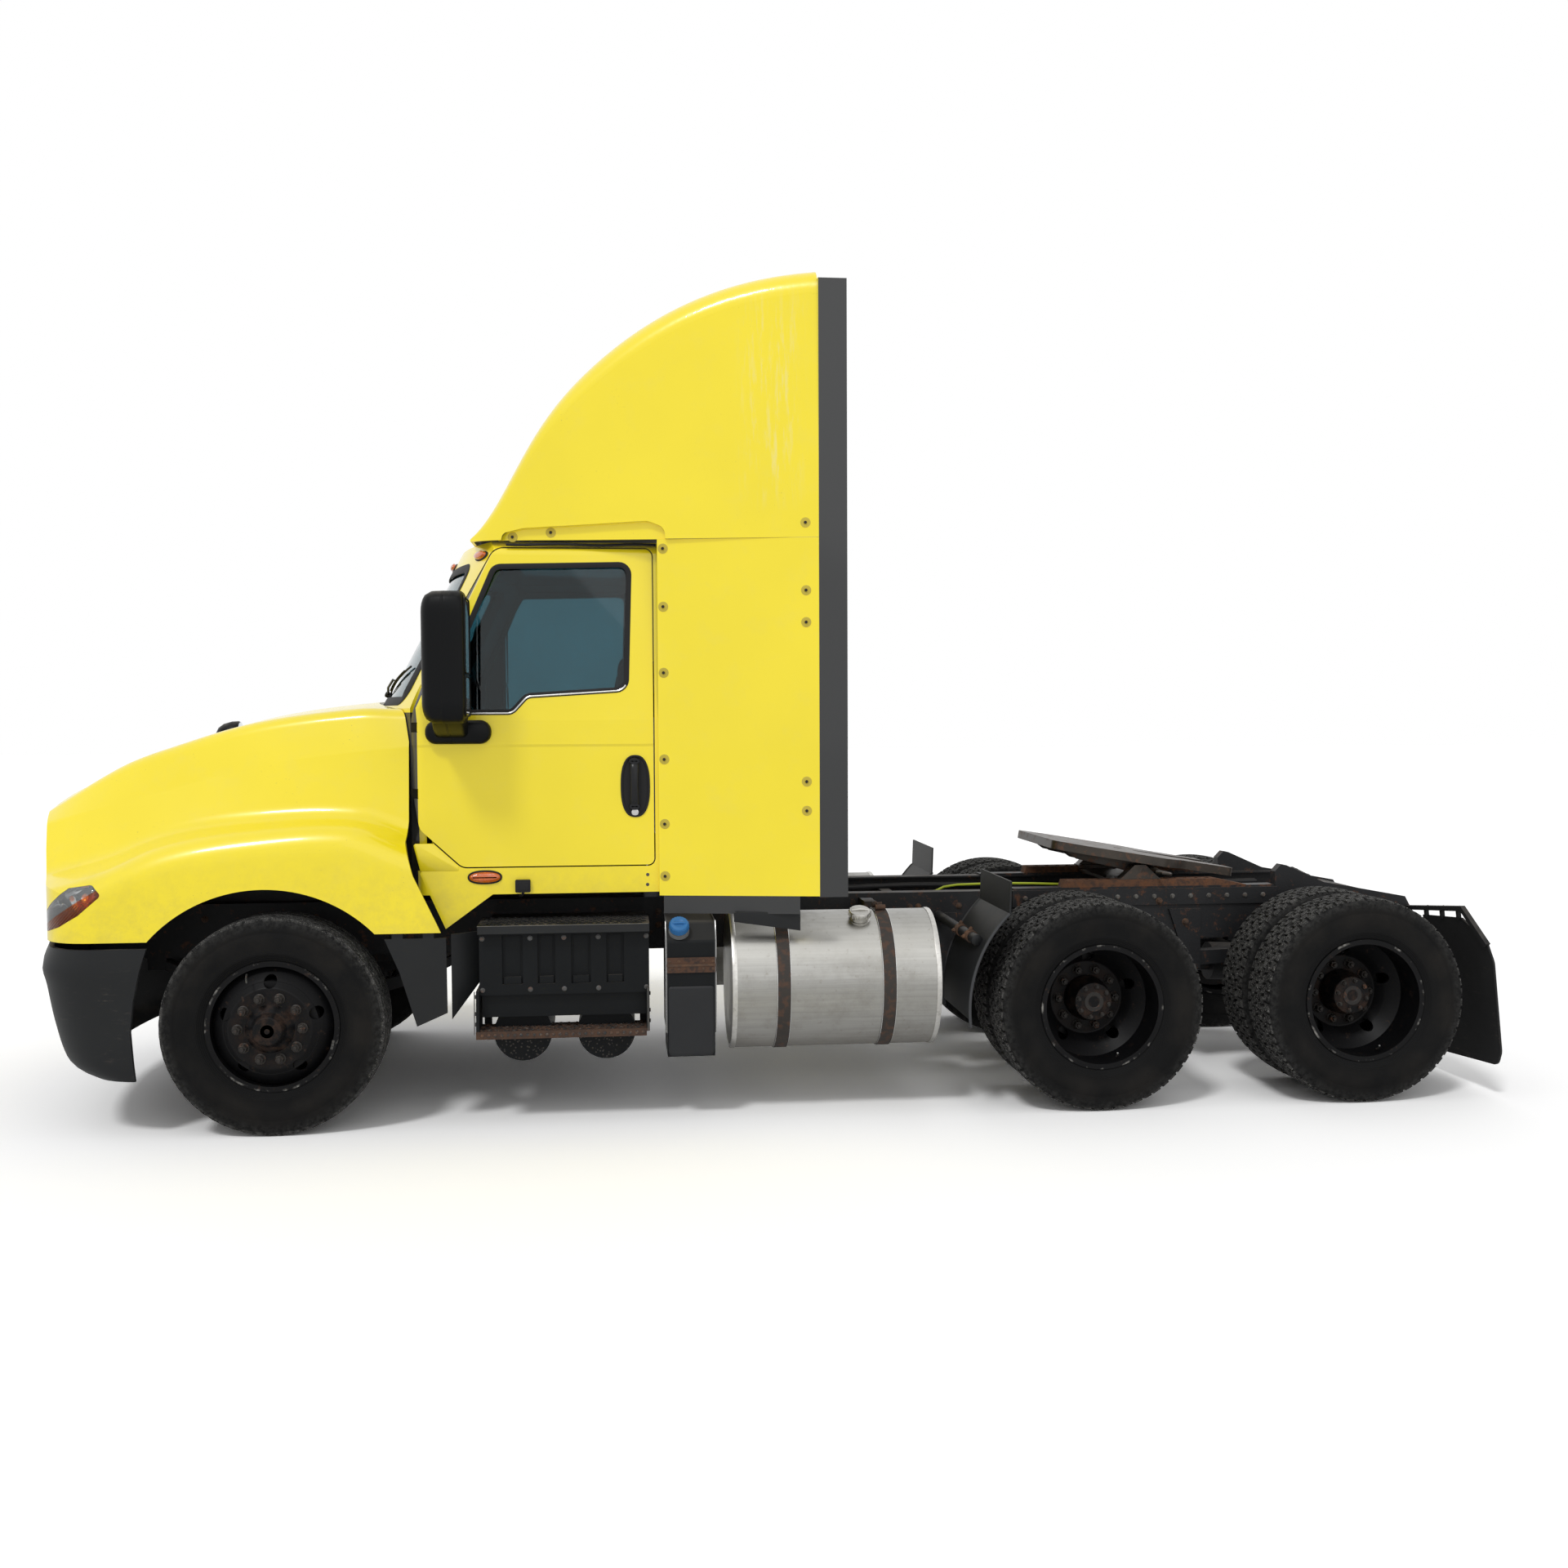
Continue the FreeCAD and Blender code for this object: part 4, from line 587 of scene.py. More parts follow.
# Slot that pieces take, then each look: its maker and the maker's values
SLOT_LOOKS = {
    "yellow_paint": {
        "yellow_paint": (yellow,),
        "yellow_hood": (yellow, P(-100, 0, 1100)),
        "yellow_fairing": (yellow, P(-2200, 0, 3050), (0.05, 0.05, 0.052), True),
        "yellow_cab": (cab_look,),
        "yellow_door": (door_look,),
        "yellow_extender": (extender_look,),
    },
    "frame_black": {
        "frame_black": (frame_paint,),
        "fifth_wheel_rails": (rail_look,),
        "trim_screw": (worn_steel, (0.16, 0.15, 0.14), 0.45, 0.5),
    },
    "engine_iron": {
        "engine_iron": (frame_paint, 0.35, (0.045, 0.045, 0.045)),
    },
    "rusty_steel": {
        "rusty_steel": (rusty,),
        "rusty_bolt": (rusty, (0.09, 0.055, 0.038), 0.6),
        "rusty_nut": (frame_paint, 0.55, (0.022, 0.019, 0.017)),
        "drum_iron": (frame_paint, 0.6, (0.018, 0.016, 0.015)),
        "dull_steel": (worn_steel, (0.12, 0.12, 0.115)),
        "step_grip": (tread_look,),
    },
    "greased_steel": {
        "greased_steel": (worn_steel, (0.075, 0.064, 0.054)),
        "greased_dark": (worn_steel, (0.06, 0.05, 0.042), 0.5, 0.8),
        "pale_bolt": (worn_steel, (0.14, 0.135, 0.125), 0.5, 0.4),
        "panel_bolt": (worn_steel, (0.1, 0.1, 0.1), 0.45, 0.4),
        "panel_screw": (plastic, (0.55, 0.44, 0.06), 0.42, 0.0, 0.15),
        # near-black finish for the painted shade laid over the screws' recesses
        "socket_dark": (plastic, (0.02, 0.018, 0.012), 0.6, 0.0, 0.1),
        "bright_steel": (bright,),
        "edge_steel": (bright, (0.16, 0.155, 0.15), 0.45),
    },
    "tyre_rubber": {
        "tyre_sidewall": (tyre_rubber,),
        "tyre_tread": (tyre_rubber, True),
    },
    "wheel_black": {
        "wheel_black": (wheel_paint,),
    },
    "black_plastic": {
        "black_plastic": (plastic,),
        "bumper_plastic": (plastic, (0.0105, 0.0115, 0.0125), 0.5, 0.75, 0.35),
        "def_tank": (def_look,),
        "def_plastic": (plastic, (0.018, 0.019, 0.021), 0.5, 0.0, 0.2),
        "neck_grey": (plastic, (0.14, 0.145, 0.15), 0.5, 0.0, 0.2),
        "cap_blue": (plastic, (0.035, 0.17, 0.42), 0.38, 0.0, 0.15),
        "step_box": (step_look,),
        "step_black": (plastic, (0.016, 0.017, 0.018), 0.45, 0.0, 0.4),
        "seal_rubber": (plastic, (0.011, 0.011, 0.012), 0.6, 0.0, 0.1),
        "gloss_black": (plastic, (0.012, 0.0125, 0.014), 0.25, 0.0, 0.1),
        "line_green": (plastic, (0.42, 0.5, 0.03), 0.4, 0.0, 0.3),
        "fender_edge": (plastic, (0.05, 0.052, 0.056), 0.5, 0.0, 0.3),
        "grille_wire": (frame_paint, 0.1),
        "mirror_plastic": (mirror_look,),
        "lamp_housing": (housing_look,),
    },
    "flap_rubber": {
        "flap_rubber": (plastic, (0.014, 0.014, 0.0145), 0.68, 0.5, 0.3),
    },
    "tank_aluminium": {
        "tank_aluminium": (tank_metal,),
        "tank_rim": (bright, (0.6, 0.59, 0.56), 0.32),
        "filler_metal": (bright, (0.5, 0.49, 0.46), 0.35),
    },
    "glass": {
        "glass": (glass, (0.13, 0.27, 0.31)),
        "mirror_glass": (mirror_glass,),
    },
    "lamp_glass": {
        "lamp_glass": (glass, (0.85, 0.88, 0.9)),
        "lamp_glass_solid": (plate_lens,),
        "lamp_lens": (lens_look,),
        "bowl_chrome": (bright, (0.8, 0.8, 0.8), 0.08),
        # the sixth value of each coloured lens is the colour of its painted glow
        "amber_lens": (colored_lens, (0.85, 0.16, 0.012), 0.25, 35, (46, 0.1, 0.25, 0.35),
                       (1.0, 0.45, 0.1), ("x", 1100.0)),
        "red_lens": (colored_lens, (0.5, 0.008, 0.006), 0.2, 60, (60, 0.08, 0.22, 0.4),
                     (0.9, 0.1, 0.06), ("y", 900.0)),
    },
    "cab_trim": {
        "cab_trim": (plastic, (0.022, 0.022, 0.025), 0.62, 0.0, 0.1),
        "cab_trim_dark": (plastic, (0.013, 0.013, 0.014), 0.6, 0.0, 0.1),
        "cab_trim_light": (plastic, (0.05, 0.05, 0.053), 0.45, 0.0, 0.1),
        "dial": (dial_look,),
        "dial_marks": (plastic, (0.55, 0.55, 0.5), 0.5, 0.0, 0.05),
    },
    "seat_fabric": {
        "seat_fabric": (cloth,),
        "seat_cloth": (seat_cloth,),
        "seat_bolster": (seat_bolster,),
    },
}
LOOKS = {name: (slot, *values) for slot, looks in SLOT_LOOKS.items() for name, values in looks.items()}
NODE_LOOKS = {
    "hood": "yellow_hood", "roof_fairing": "yellow_fairing", "cab": "yellow_cab", "bumper": "bumper_plastic",
    "door_left": "yellow_door", "door_right": "yellow_door", "def_tank": "def_tank",
    "extender_left": "yellow_extender", "extender_right": "yellow_extender",
    "step_box_left": "step_box", "step_box_right": "step_box", "fifth_wheel_rails": "fifth_wheel_rails",
}
MADE = {}


def look(name):
    if name not in MADE:
        _, maker, *values = LOOKS[name]
        MADE[name] = maker(name, *values)
    return MADE[name]


def dress_nodes():
    for node, obj in NODES.items():
        slot = "tyre_sidewall" if SLOT_OF[node] == "tyre_rubber" else SLOT_OF[node]
        obj.data.materials.clear()
        obj.data.materials.append(look(NODE_LOOKS.get(node, slot)))


# ---------------------------------------------------------------- shapes
def turn(count, start=0.0):
    """Angles evenly round a circle."""
    return [start + TAU * k / count for k in range(count)]


def sweep(low, high, parts):
    """Angles from one number of degrees to another, with both ends."""
    return [math.radians(low + (high - low) * k / parts) for k in range(parts + 1)]


def circle(centre, u, v, radius, sides):
    return [centre + (u * math.cos(t) + v * math.sin(t)) * radius for t in turn(sides)]


def seen_from_side(points, side, y):
    """A side-view outline of (x, z) at a distance from the truck's middle."""
    return [P(x, side * y, z) for x, z in points]


def rect(a0, a1, b0, b1, radius=0, steps=5):
    return rounded([(a0, b0, radius), (a1, b0, radius), (a1, b1, radius), (a0, b1, radius)], steps)


def rounded(points, steps=5):
    """(a, b, radius) corners to a plain outline of (a, b)."""
    out, count = [], len(points)
    for i, p in enumerate(points):
        here = Vector(p[:2])
        radius = p[2] if len(p) > 2 else 0
        if not radius:
            out.append((p[0], p[1]))
            continue
        a = Vector(points[i - 1][:2]) - here
        b = Vector(points[(i + 1) % count][:2]) - here
        half = a.angle(b) / 2
        cut = min(radius / math.tan(half), a.length * 0.49, b.length * 0.49)
        r = cut * math.tan(half)
        centre = here + (a.normalized() + b.normalized()).normalized() * (r / math.sin(half))
        start, end = here + a.normalized() * cut - centre, here + b.normalized() * cut - centre
        bend = start.angle_signed(end)
        for k in range(steps + 1):
            t = -bend * k / steps
            out.append((centre.x + start.x * math.cos(t) - start.y * math.sin(t),
                        centre.y + start.x * math.sin(t) + start.y * math.cos(t)))
    return out


def offset(points, distance):
    """A closed outline let out by a distance."""
    area = sum(a[0] * b[1] - b[0] * a[1] for a, b in zip(points, points[1:] + points[:1]))
    sign = 1 if area > 0 else -1
    out = []
    for i, p in enumerate(points):
        ahead = Vector(points[(i + 1) % len(points)]) - Vector(points[i - 1])
        ahead.normalize()
        out.append((p[0] + sign * ahead.y * distance, p[1] - sign * ahead.x * distance))
    return out


def oval(cx, cz, rx, rz, count=36, power=2.0):
    out = []
    for t in turn(count):
        c, s = math.cos(t), math.sin(t)
        out.append((cx + rx * math.copysign(abs(c) ** (2 / power), c),
                    cz + rz * math.copysign(abs(s) ** (2 / power), s)))
    return out


class Shape:
    """Faces gathered from several forms into one piece. Lengths given to its methods are metres."""

    def __init__(self):
        self.verts, self.faces = [], []

    def add(self, verts, faces):
        start = len(self.verts)
        self.verts += [Vector(v) for v in verts]
        self.faces += [tuple(start + i for i in f) for f in faces]
        return self

    def loops(self, rings, ends=True, closed=True, wrap=False):
        """Skin through rings of equally many points."""
        count, total, faces = len(rings[0]), len(rings), []
        for i in range(total if wrap else total - 1):
            a, b = i * count, (i + 1) % total * count
            for j in range(count if closed else count - 1):
                k = (j + 1) % count
                faces.append((a + j, a + k, b + k, b + j))
        if ends:
            faces += [tuple(range(count))[::-1], tuple(range((total - 1) * count, total * count))]
        return self.add([v for ring in rings for v in ring], faces)

    def slab(self, outline, *shift):
        """A flat outline of places, pushed along a direction."""
        return self.loops([outline, [p + Vector(shift) for p in outline]])

    def plate(self, points, side, y, thick):
        """A side-view outline in millimetres, grown outward from y."""
        return self.slab(seen_from_side(points, side, y), 0, side * thick / 1000, 0)

    def block(self, x0, x1, y0, y1, z0, z1):
        """Sides in millimetres."""
        return self.slab([P(x, y, z0) for x, y in rect(x0, x1, y0, y1)], 0, 0, (z1 - z0) / 1000)

    def lathe(self, profile, centre, axis, sides=32, ends=True):
        """profile: (distance along axis, radius)."""
        axis = Vector(axis).normalized()
        u = axis.orthogonal().normalized()
        centre, v = Vector(centre), axis.cross(u)
        return self.loops([circle(centre + axis * a, u, v, max(r, 1e-5), sides) for a, r in profile], ends)

    def tube(self, path, radius, sides=10):
        rings, normal = [], None
        for i, p in enumerate(path):
            ahead = (path[min(i + 1, len(path) - 1)] - path[max(i - 1, 0)]).normalized()
            normal = ahead.orthogonal() if normal is None else normal - ahead * normal.dot(ahead)
            normal.normalize()
            rings.append(circle(p, normal, ahead.cross(normal), radius, sides))
        return self.loops(rings)

    def screw(self, spot, out, radius, height, recess=True):
        """Domed head on a washer."""
        profile = [(0, radius), (height * 0.25, radius), (height * 0.3, radius * 0.72),
                   (height * 0.8, radius * 0.6), (height, radius * 0.35)]
        if recess:
            profile += [(height * 0.55, radius * 0.2), (height * 0.5, 0.0)]
        return self.lathe(profile, spot, out, 14)

    def hexnut(self, spot, out, r, h, stud=0.0):
        self.lathe([(0, r * 1.25), (h * 0.12, r * 1.25), (h * 0.22, r * 1.02)], spot, out, 18)
        self.lathe([(h * 0.12, r * 0.97), (h * 0.2, r), (h * 0.88, r), (h, r * 0.86)], spot, out, 6)
        if stud:
            self.lathe([(h * 0.9, stud), (h * 1.35, stud), (h * 1.42, stud * 0.8)], spot, out, 10)
        return self

    def knurled(self, foot, out, count, low, high, radius, bar):
        """Ribs round a screw cap, and the raised grip across its top."""
        u = AHEAD
        v = out.cross(u)
        for t in turn(count):
            arm = u * math.cos(t) + v * math.sin(t)
            self.tube([foot + out * low[0] + arm * low[1], foot + out * high[0] + arm * high[1]], radius, 6)
        base, top, half, thick = bar
        ends = [foot + out * base + u * half * way for way in (-1, 1)]
        return self.tube([ends[0], foot + out * top, ends[1]], thick, 8)

    def band(self, side, points, low, high, lift, sunk=2.0):
        """A strip with rounded edges round a closed side-view outline on the cab's side."""
        soft = min(lift, (high - low) * 0.3)
        rows = [(low, -sunk), (low, lift - soft * 0.6), (low + soft, lift), (high - soft, lift),
                (high, lift - soft * 0.6), (high, -sunk)]
        rings = [on_cab(side, offset(points, way), up) for way, up in rows]
        return self.loops(rings + rings[:1], ends=False)

    def cover(self, side, points, base, lift, crown=0.0):
        """A thin plate of a side-view outline on the cab's side, softened at its edge."""
        rows = [(0, base), (0, lift * 0.6), (-2.2, lift), (-9, lift + crown * 0.6), (-18, lift + crown)]
        return self.loops([on_cab(side, offset(points, way), up) for way, up in rows])

    def form(self):
        """The faces as a bmesh with every normal outward."""
        mesh = bpy.data.meshes.new("form")
        mesh.from_pydata([tuple(v) for v in self.verts], [], self.faces)
        bm = bmesh.new()
        bm.from_mesh(mesh)
        bpy.data.meshes.remove(mesh)
        bmesh.ops.recalc_face_normals(bm, faces=bm.faces)
        return bm

    def object(self, name, bevel=0.0):
        bm = self.form()
        if bevel:
            bmesh.ops.remove_doubles(bm, verts=bm.verts, dist=1e-6)
            sharp = [e for e in bm.edges if e.is_manifold and e.calc_face_angle(0) > math.radians(30)]
            bmesh.ops.bevel(bm, geom=sharp, offset=bevel, segments=2, profile=0.7, affect="EDGES",
                            clamp_overlap=True)
        mesh = bpy.data.meshes.new(name)
        bm.to_mesh(mesh)
        bm.free()
        return link(name, mesh)

    def make(self, name, finish, body="chassis", slot=None, smooth=True, bevel=0.0, levels=0, angle=35):
        obj = self.object(name, bevel)
        obj.data.materials.append(look(finish))
        if levels:
            obj.modifiers.new("round", "SUBSURF").levels = levels
            obj.modifiers["round"].render_levels = levels
        if smooth:
            obj.data.shade_smooth()
            if not levels:
                obj.data.set_sharp_from_angle(angle=math.radians(angle))
        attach(obj, body)
        return obj


def shape_of(mesh):
    return Shape().add([v.co for v in mesh.vertices], [tuple(p.vertices) for p in mesh.polygons])


def on_cab(side, points, up):
    """A side-view outline laid on the cab's outer skin, lifted by some millimetres."""
    return [P(x, side * (cab_y(z) + up), z) for x, z in points]


def cab_y(z):
    """Half width of the cab's outer skin at a height."""
    return 1030 if z < 1890 else 1030 - (z - 1890) * 55 / 805


def formed(body, keep=(), cut=()):
    """What is left of a shape inside each shape to keep and outside each shape to cut."""
    body, tools = body.object("solid"), []
    for how, shapes in (("INTERSECT", keep), ("DIFFERENCE", cut)):
        for shape in shapes:
            step = body.modifiers.new("step", "BOOLEAN")
            step.operation, step.solver, step.object = how, "EXACT", shape.object("solid")
            tools.append(step.object)
    seen = body.evaluated_get(bpy.context.evaluated_depsgraph_get())
    out = shape_of(bpy.data.meshes.new_from_object(seen))
    for obj in [body] + tools:
        bpy.data.objects.remove(obj)
    return out


def prism(points, plane, low, high):
    """A straight solid from a flat outline in the xz, yz or xy plane."""
    place = {"xz": lambda a, b, level: P(a, level, b), "yz": lambda a, b, level: P(level, a, b),
             "xy": lambda a, b, level: P(a, b, level)}[plane]
    return Shape().loops([[place(a, b, level) for a, b in points] for level in (low, high)])


TREES = {}


def surface(node, start, direction):
    """Where a line from a place meets a CAD node, and the way the node faces there."""
    if node not in TREES:
        mesh = NODES[node].data
        TREES[node] = BVHTree.FromPolygons([v.co for v in mesh.vertices],
                                           [tuple(p.vertices) for p in mesh.polygons])
    spot, normal, _, _ = TREES[node].ray_cast(Vector(start), Vector(direction))
    if spot is None:
        raise ValueError("no surface of " + node + " there")
    return spot, normal


def from_side(node, side, x, z):
    return surface(node, P(x, side * 1700, z), (0, -side, 0))


# ---------------------------------------------------------------- tyres and wheels
# Half section of a tyre: distance from its middle, radius
CARCASS = [(110.7, 286.4), (113, 300), (121, 308), (130, 330), (133, 334), (132, 342), (137.5, 372),
           (139.8, 400), (139, 425), (137.5, 428), (137, 433), (138, 436), (136, 452), (132.5, 470),
           (129, 482), (121, 490), (112, 489.5), (60, 491), (0, 492)]
# Rows of the drive tread: inner edge, outer edge (from the middle), top radii, foot radii
DRIVE_ROWS = [(3, 36, 503.8, 503.2, 490, 490), (41, 74, 503, 502, 489, 489), (80, 122, 501.4, 498, 488, 481)]
DRIVE_PITCHES, STEER_STEPS = 60, 180
STEER_RIBS = [(-122, -86), (-78, -34), (-27, 27), (34, 78), (86, 122)]
BLOCK_DRAFT = 2.2
TWIN_INSET = 0.14


def by_axle(x, y, r, t):
    """A place at a radius and angle from a wheel's axle; y and r in millimetres."""
    return Vector((x + r / 1000 * math.cos(t), y / 1000, WHEEL_Z + r / 1000 * math.sin(t)))


def tyre_carcass(shape, x, y):
    half = [(y + a, r) for a, r in CARCASS] + [(y - a, r) for a, r in reversed(CARCASS[:-1])]
    shape.loops([[by_axle(x, a, r, t) for a, r in half] for t in turn(120)], ends=False, wrap=True)


def drive_tread(shape, x, y, phase):
    """Three rows of slanted blocks on each side of the middle."""
    step = TAU / DRIVE_PITCHES
    draw = BLOCK_DRAFT / 500
    for side in (1, -1):
        for row, (a, b, top_a, top_b, low_a, low_b) in enumerate(DRIVE_ROWS):
            y0, y1, e = y + side * a, y + side * b, side * BLOCK_DRAFT
            s = 0.012 * (1 if row == 1 else -1)
            for k in range(DRIVE_PITCHES):
                t0 = k * step + phase + (0.5 * step if (row + (side < 0)) % 2 else 0)
                t1 = t0 + step * (0.8 + 0.05 * math.sin(k * 2.4 + row))
                corners = [(y0, t0, low_a), (y1, t0 + s, low_b), (y1, t1 + s, low_b), (y0, t1, low_a),
                           (y0 + e, t0 + draw, top_a), (y1 - e, t0 + s + draw, top_b),
                           (y1 - e, t1 + s - draw, top_b), (y0 + e, t1 - draw, top_a)]
                shape.add([by_axle(x, w, r, t) for w, t, r in corners],
                          [(4, 5, 6, 7), (0, 1, 5, 4), (1, 2, 6, 5), (2, 3, 7, 6), (3, 0, 4, 7)])


def steer_tread(shape, x, y):
    """Five ribs with waved, notched edges."""
    def crown(w):
        return 504 - 4 * (abs(w) / 118) ** 2
    for rib, (a, b) in enumerate(STEER_RIBS):
        rings = []
        for k, t in enumerate(turn(STEER_STEPS)):
            wave = (k % 6) / 3
            wave = (wave if wave <= 1 else 2 - wave) * 5 - 2.5
            notch = 1.0 if k % 3 == 0 else 0.0
            low, high = a + (wave if a > -100 else 0), b + (wave if b < 100 else 0)
            section = [(low - 5, 482) if rib == 0 else (low, 488), (low + 1.5, crown(low) - notch),
                       (high - 1.5, crown(high) - notch), (high + 5, 482) if rib == 4 else (high, 488)]
            rings.append([by_axle(x, y + w, r, t) for w, r in section])
        shape.loops(rings + rings[:1], ends=False, closed=False)


def wheel_nodes(kind):
    """Name after the kind, side, middle x, box and whether it is a front wheel, for each node."""
    for node in [n for n in NODES if n.startswith(kind)]:
        low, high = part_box(node)
        side = -1 if node.endswith("right") else 1
        yield node[len(kind):], side, (low.x + high.x) / 2, low, high, "front" in node


def tyres():
    for name, side, x, low, high, front in wheel_nodes("tyre_"):
        carcass, blocks = Shape(), Shape()
        for i, y in enumerate([(low.y + high.y) / 2] if front else [high.y - TWIN_INSET, low.y + TWIN_INSET]):
            tyre_carcass(carcass, x, y * 1000)
            if front:
                steer_tread(blocks, x, y * 1000)
            else:
                drive_tread(blocks, x, y * 1000, 0.03 * i + 0.013 * side)
        carcass.make("carcass_" + name, "tyre_sidewall", "wheel_" + name, angle=50)
        crown = blocks.make("tread_" + name, "tyre_tread", "wheel_" + name, smooth=False)
        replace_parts(crown, "tyre_" + name)


def wheel_fittings():
    for name, side, x, low, high, front in wheel_nodes("rim_"):
        body, out = "wheel_" + name, (0, side, 0)
        lip = (high.y if side > 0 else -low.y) * 1000
        nuts, cap, clip = Shape(), Shape(), Shape()
        for t in turn(10):
            nuts.hexnut(by_axle(x, side * (1232 if front else 937), 143, t), out, 0.0198, 0.033, 0.0095)
        nuts.make("nuts_" + name, "rusty_nut", body, angle=30)
        if front:
            cap.lathe([(0.0, 0.05), (0.012, 0.048), (0.0165, 0.03), (0.0165, 0.012), (0.012, 0.0)],
                      (x, side * 1.2775, WHEEL_Z), out)
            for t in turn(6, 0.3):
                cap.hexnut(by_axle(x, side * 1270, 66, t), out, 0.0075, 0.008)
        else:
            for t in turn(8, 0.2):
                cap.hexnut(by_axle(x, side * 1067.5, 75, t), out, 0.0115, 0.014, 0.006)
            cap.lathe([(0.028, 0.05), (0.034, 0.047), (0.034, 0.03), (0.0315, 0.026), (0.0315, 0.0)],
                      (x, side * 1.044, WHEEL_Z), out, 28)
        cap.make("hub_cap_" + name, "wheel_black" if front else "rusty_nut", body, "rusty_steel", angle=30)
        # valve stem, and balance weights on the rim's edge
        t = 1.2 if front else -1.9
        stem = ((0, 0), (30, 12), (52, 30))
        clip.tube([by_axle(x, side * (lip - 60 + w), 268 - r, t) for w, r in stem], 0.0045, 8)
        for k in range(3):
            tt = t + 2.1 + 0.05 * k
            clip.slab([by_axle(x, side * (lip - 1), r, tt + d)
                       for r, d in ((288, 0), (299, 0), (299, 0.044), (288, 0.044))], 0, side * 0.0009, 0)
        clip.make("valve_" + name, "dull_steel", body)


def brake_drums():
    """Drum seen through the hand holes of each wheel."""
    profile = [(-0.07, 0.262), (0.0, 0.264), (0.012, 0.24), (0.03, 0.2), (0.034, 0.13), (0.03, 0.1),
               (-0.07, 0.1)]
    for name, side, x, low, high, front in wheel_nodes("rim_"):
        shape = Shape().lathe(profile, (x, side * (1.03 if front else 0.80), WHEEL_Z), (0, side, 0), 64)
        shape.make("drum_" + name, "drum_iron", "wheel_" + name, angle=50)


# ---------------------------------------------------------------- doors and cab side
WINDOW = rounded([(-1628, 2618, 40), (-1610, 2040, 45), (-1150, 2012, 60), (-1080, 1935, 40),
                  (-800, 1935, 25), (-800, 2115, 60), (-1010, 2605, 40)], 6)
HANDLE_X, HANDLE_Z = -1655, 1578
PANEL_FACE = 1030


@both_sides
def door_pieces(side, name):
    body, out = "door_" + name, (0, side, 0)
    Shape().band(side, WINDOW, -7, 19, 2.2).make("window_seal_" + name, "seal_rubber", body)
    sill = sorted(p for p in offset(WINDOW, 10) if p[1] < 2062)
    Shape().tube(on_cab(side, sill, 2.2), 0.0045, 8).make("window_trim_" + name, "bright_steel", body)
    # door handle: oval cup with an upright grip and the lock at its foot
    ring = oval(HANDLE_X, HANDLE_Z, 67, 145, 44, 2.5)
    cup = Shape().band(side, ring, -9, 2, 6.5).cover(side, offset(ring, -6), 0, 0.9)
    cup.make("handle_cup_" + name, "seal_rubber", body)
    rings = []
    for k in range(13):
        t = k / 12
        y = PANEL_FACE + 8 + 22 * max(math.sin(math.pi * t), 0) ** 0.45
        wide, z = 21 - 4 * math.sin(math.pi * t), HANDLE_Z + 112 - 205 * t
        rings.append([P(HANDLE_X + 4 + wide * math.cos(a), side * (y + 9 * math.sin(a)), z)
                      for a in turn(16)])
    grip = Shape().loops(rings)
    for z in (HANDLE_Z + 118, HANDLE_Z - 96):
        grip.cover(side, oval(HANDLE_X + 4, z, 27, 17, 24), 0, 22)
    grip.make("handle_grip_" + name, "gloss_black", body)
    profile = [(0, 0.0165), (0.004, 0.0165), (0.0055, 0.014), (0.0055, 0.0115), (0.004, 0.011), (0.004, 0)]
    lock = Shape().lathe(profile, P(HANDLE_X + 2, side * 1031, HANDLE_Z - 124), out, 24)
    lock.block(HANDLE_X - 1, HANDLE_X + 5, side * 1034.6, side * 1035.4, HANDLE_Z - 133, HANDLE_Z - 115)
    lock.make("door_lock_" + name, "bright_steel", body)


@both_sides
def cab_side_pieces(side, name):
    lamp = oval(-949, 1156, 76, 29, 40, 2.3)
    Shape().band(side, lamp, -6, 4, 6).make("side_lamp_base_" + name, "seal_rubber")
    Shape().cover(side, offset(lamp, -4), 0, 12, crown=9).make("side_lamp_" + name, "amber_lens")
    socket = Shape().plate(rect(-1160, -1090, 1084, 1143, 5, 3), side, 1031, 22)
    socket.block(-1152, -1098, side * 1052, side * 1056, 1094, 1133)
    wire = ((-1125, 1045, 1086), (-1125, 1043, 1076), (-1118, 1030, 1066), (-1105, 1000, 1062))
    socket.tube([P(x, side * y, z) for x, y, z in wire], 0.006, 8)
    socket.make("side_socket_" + name, "seal_rubber", bevel=0.0015)
    screws = Shape()
    for x, z in ((-1710, 1157), (-1709, 1110)):
        screws.screw(P(x, side * PANEL_FACE, z), (0, side, 0), 0.008, 0.003)
    screws.make("sill_screws_" + name, "trim_screw")
    # the strip that closes the fairing's recess
    run = [(-1762 + 35 * k, 2716 + 3.0 * math.sin(k * 0.6)) for k in range(21)]
    Shape().tube(seen_from_side(run, side, 976), 0.0065, 8).make("roof_gutter_" + name, "seal_rubber")


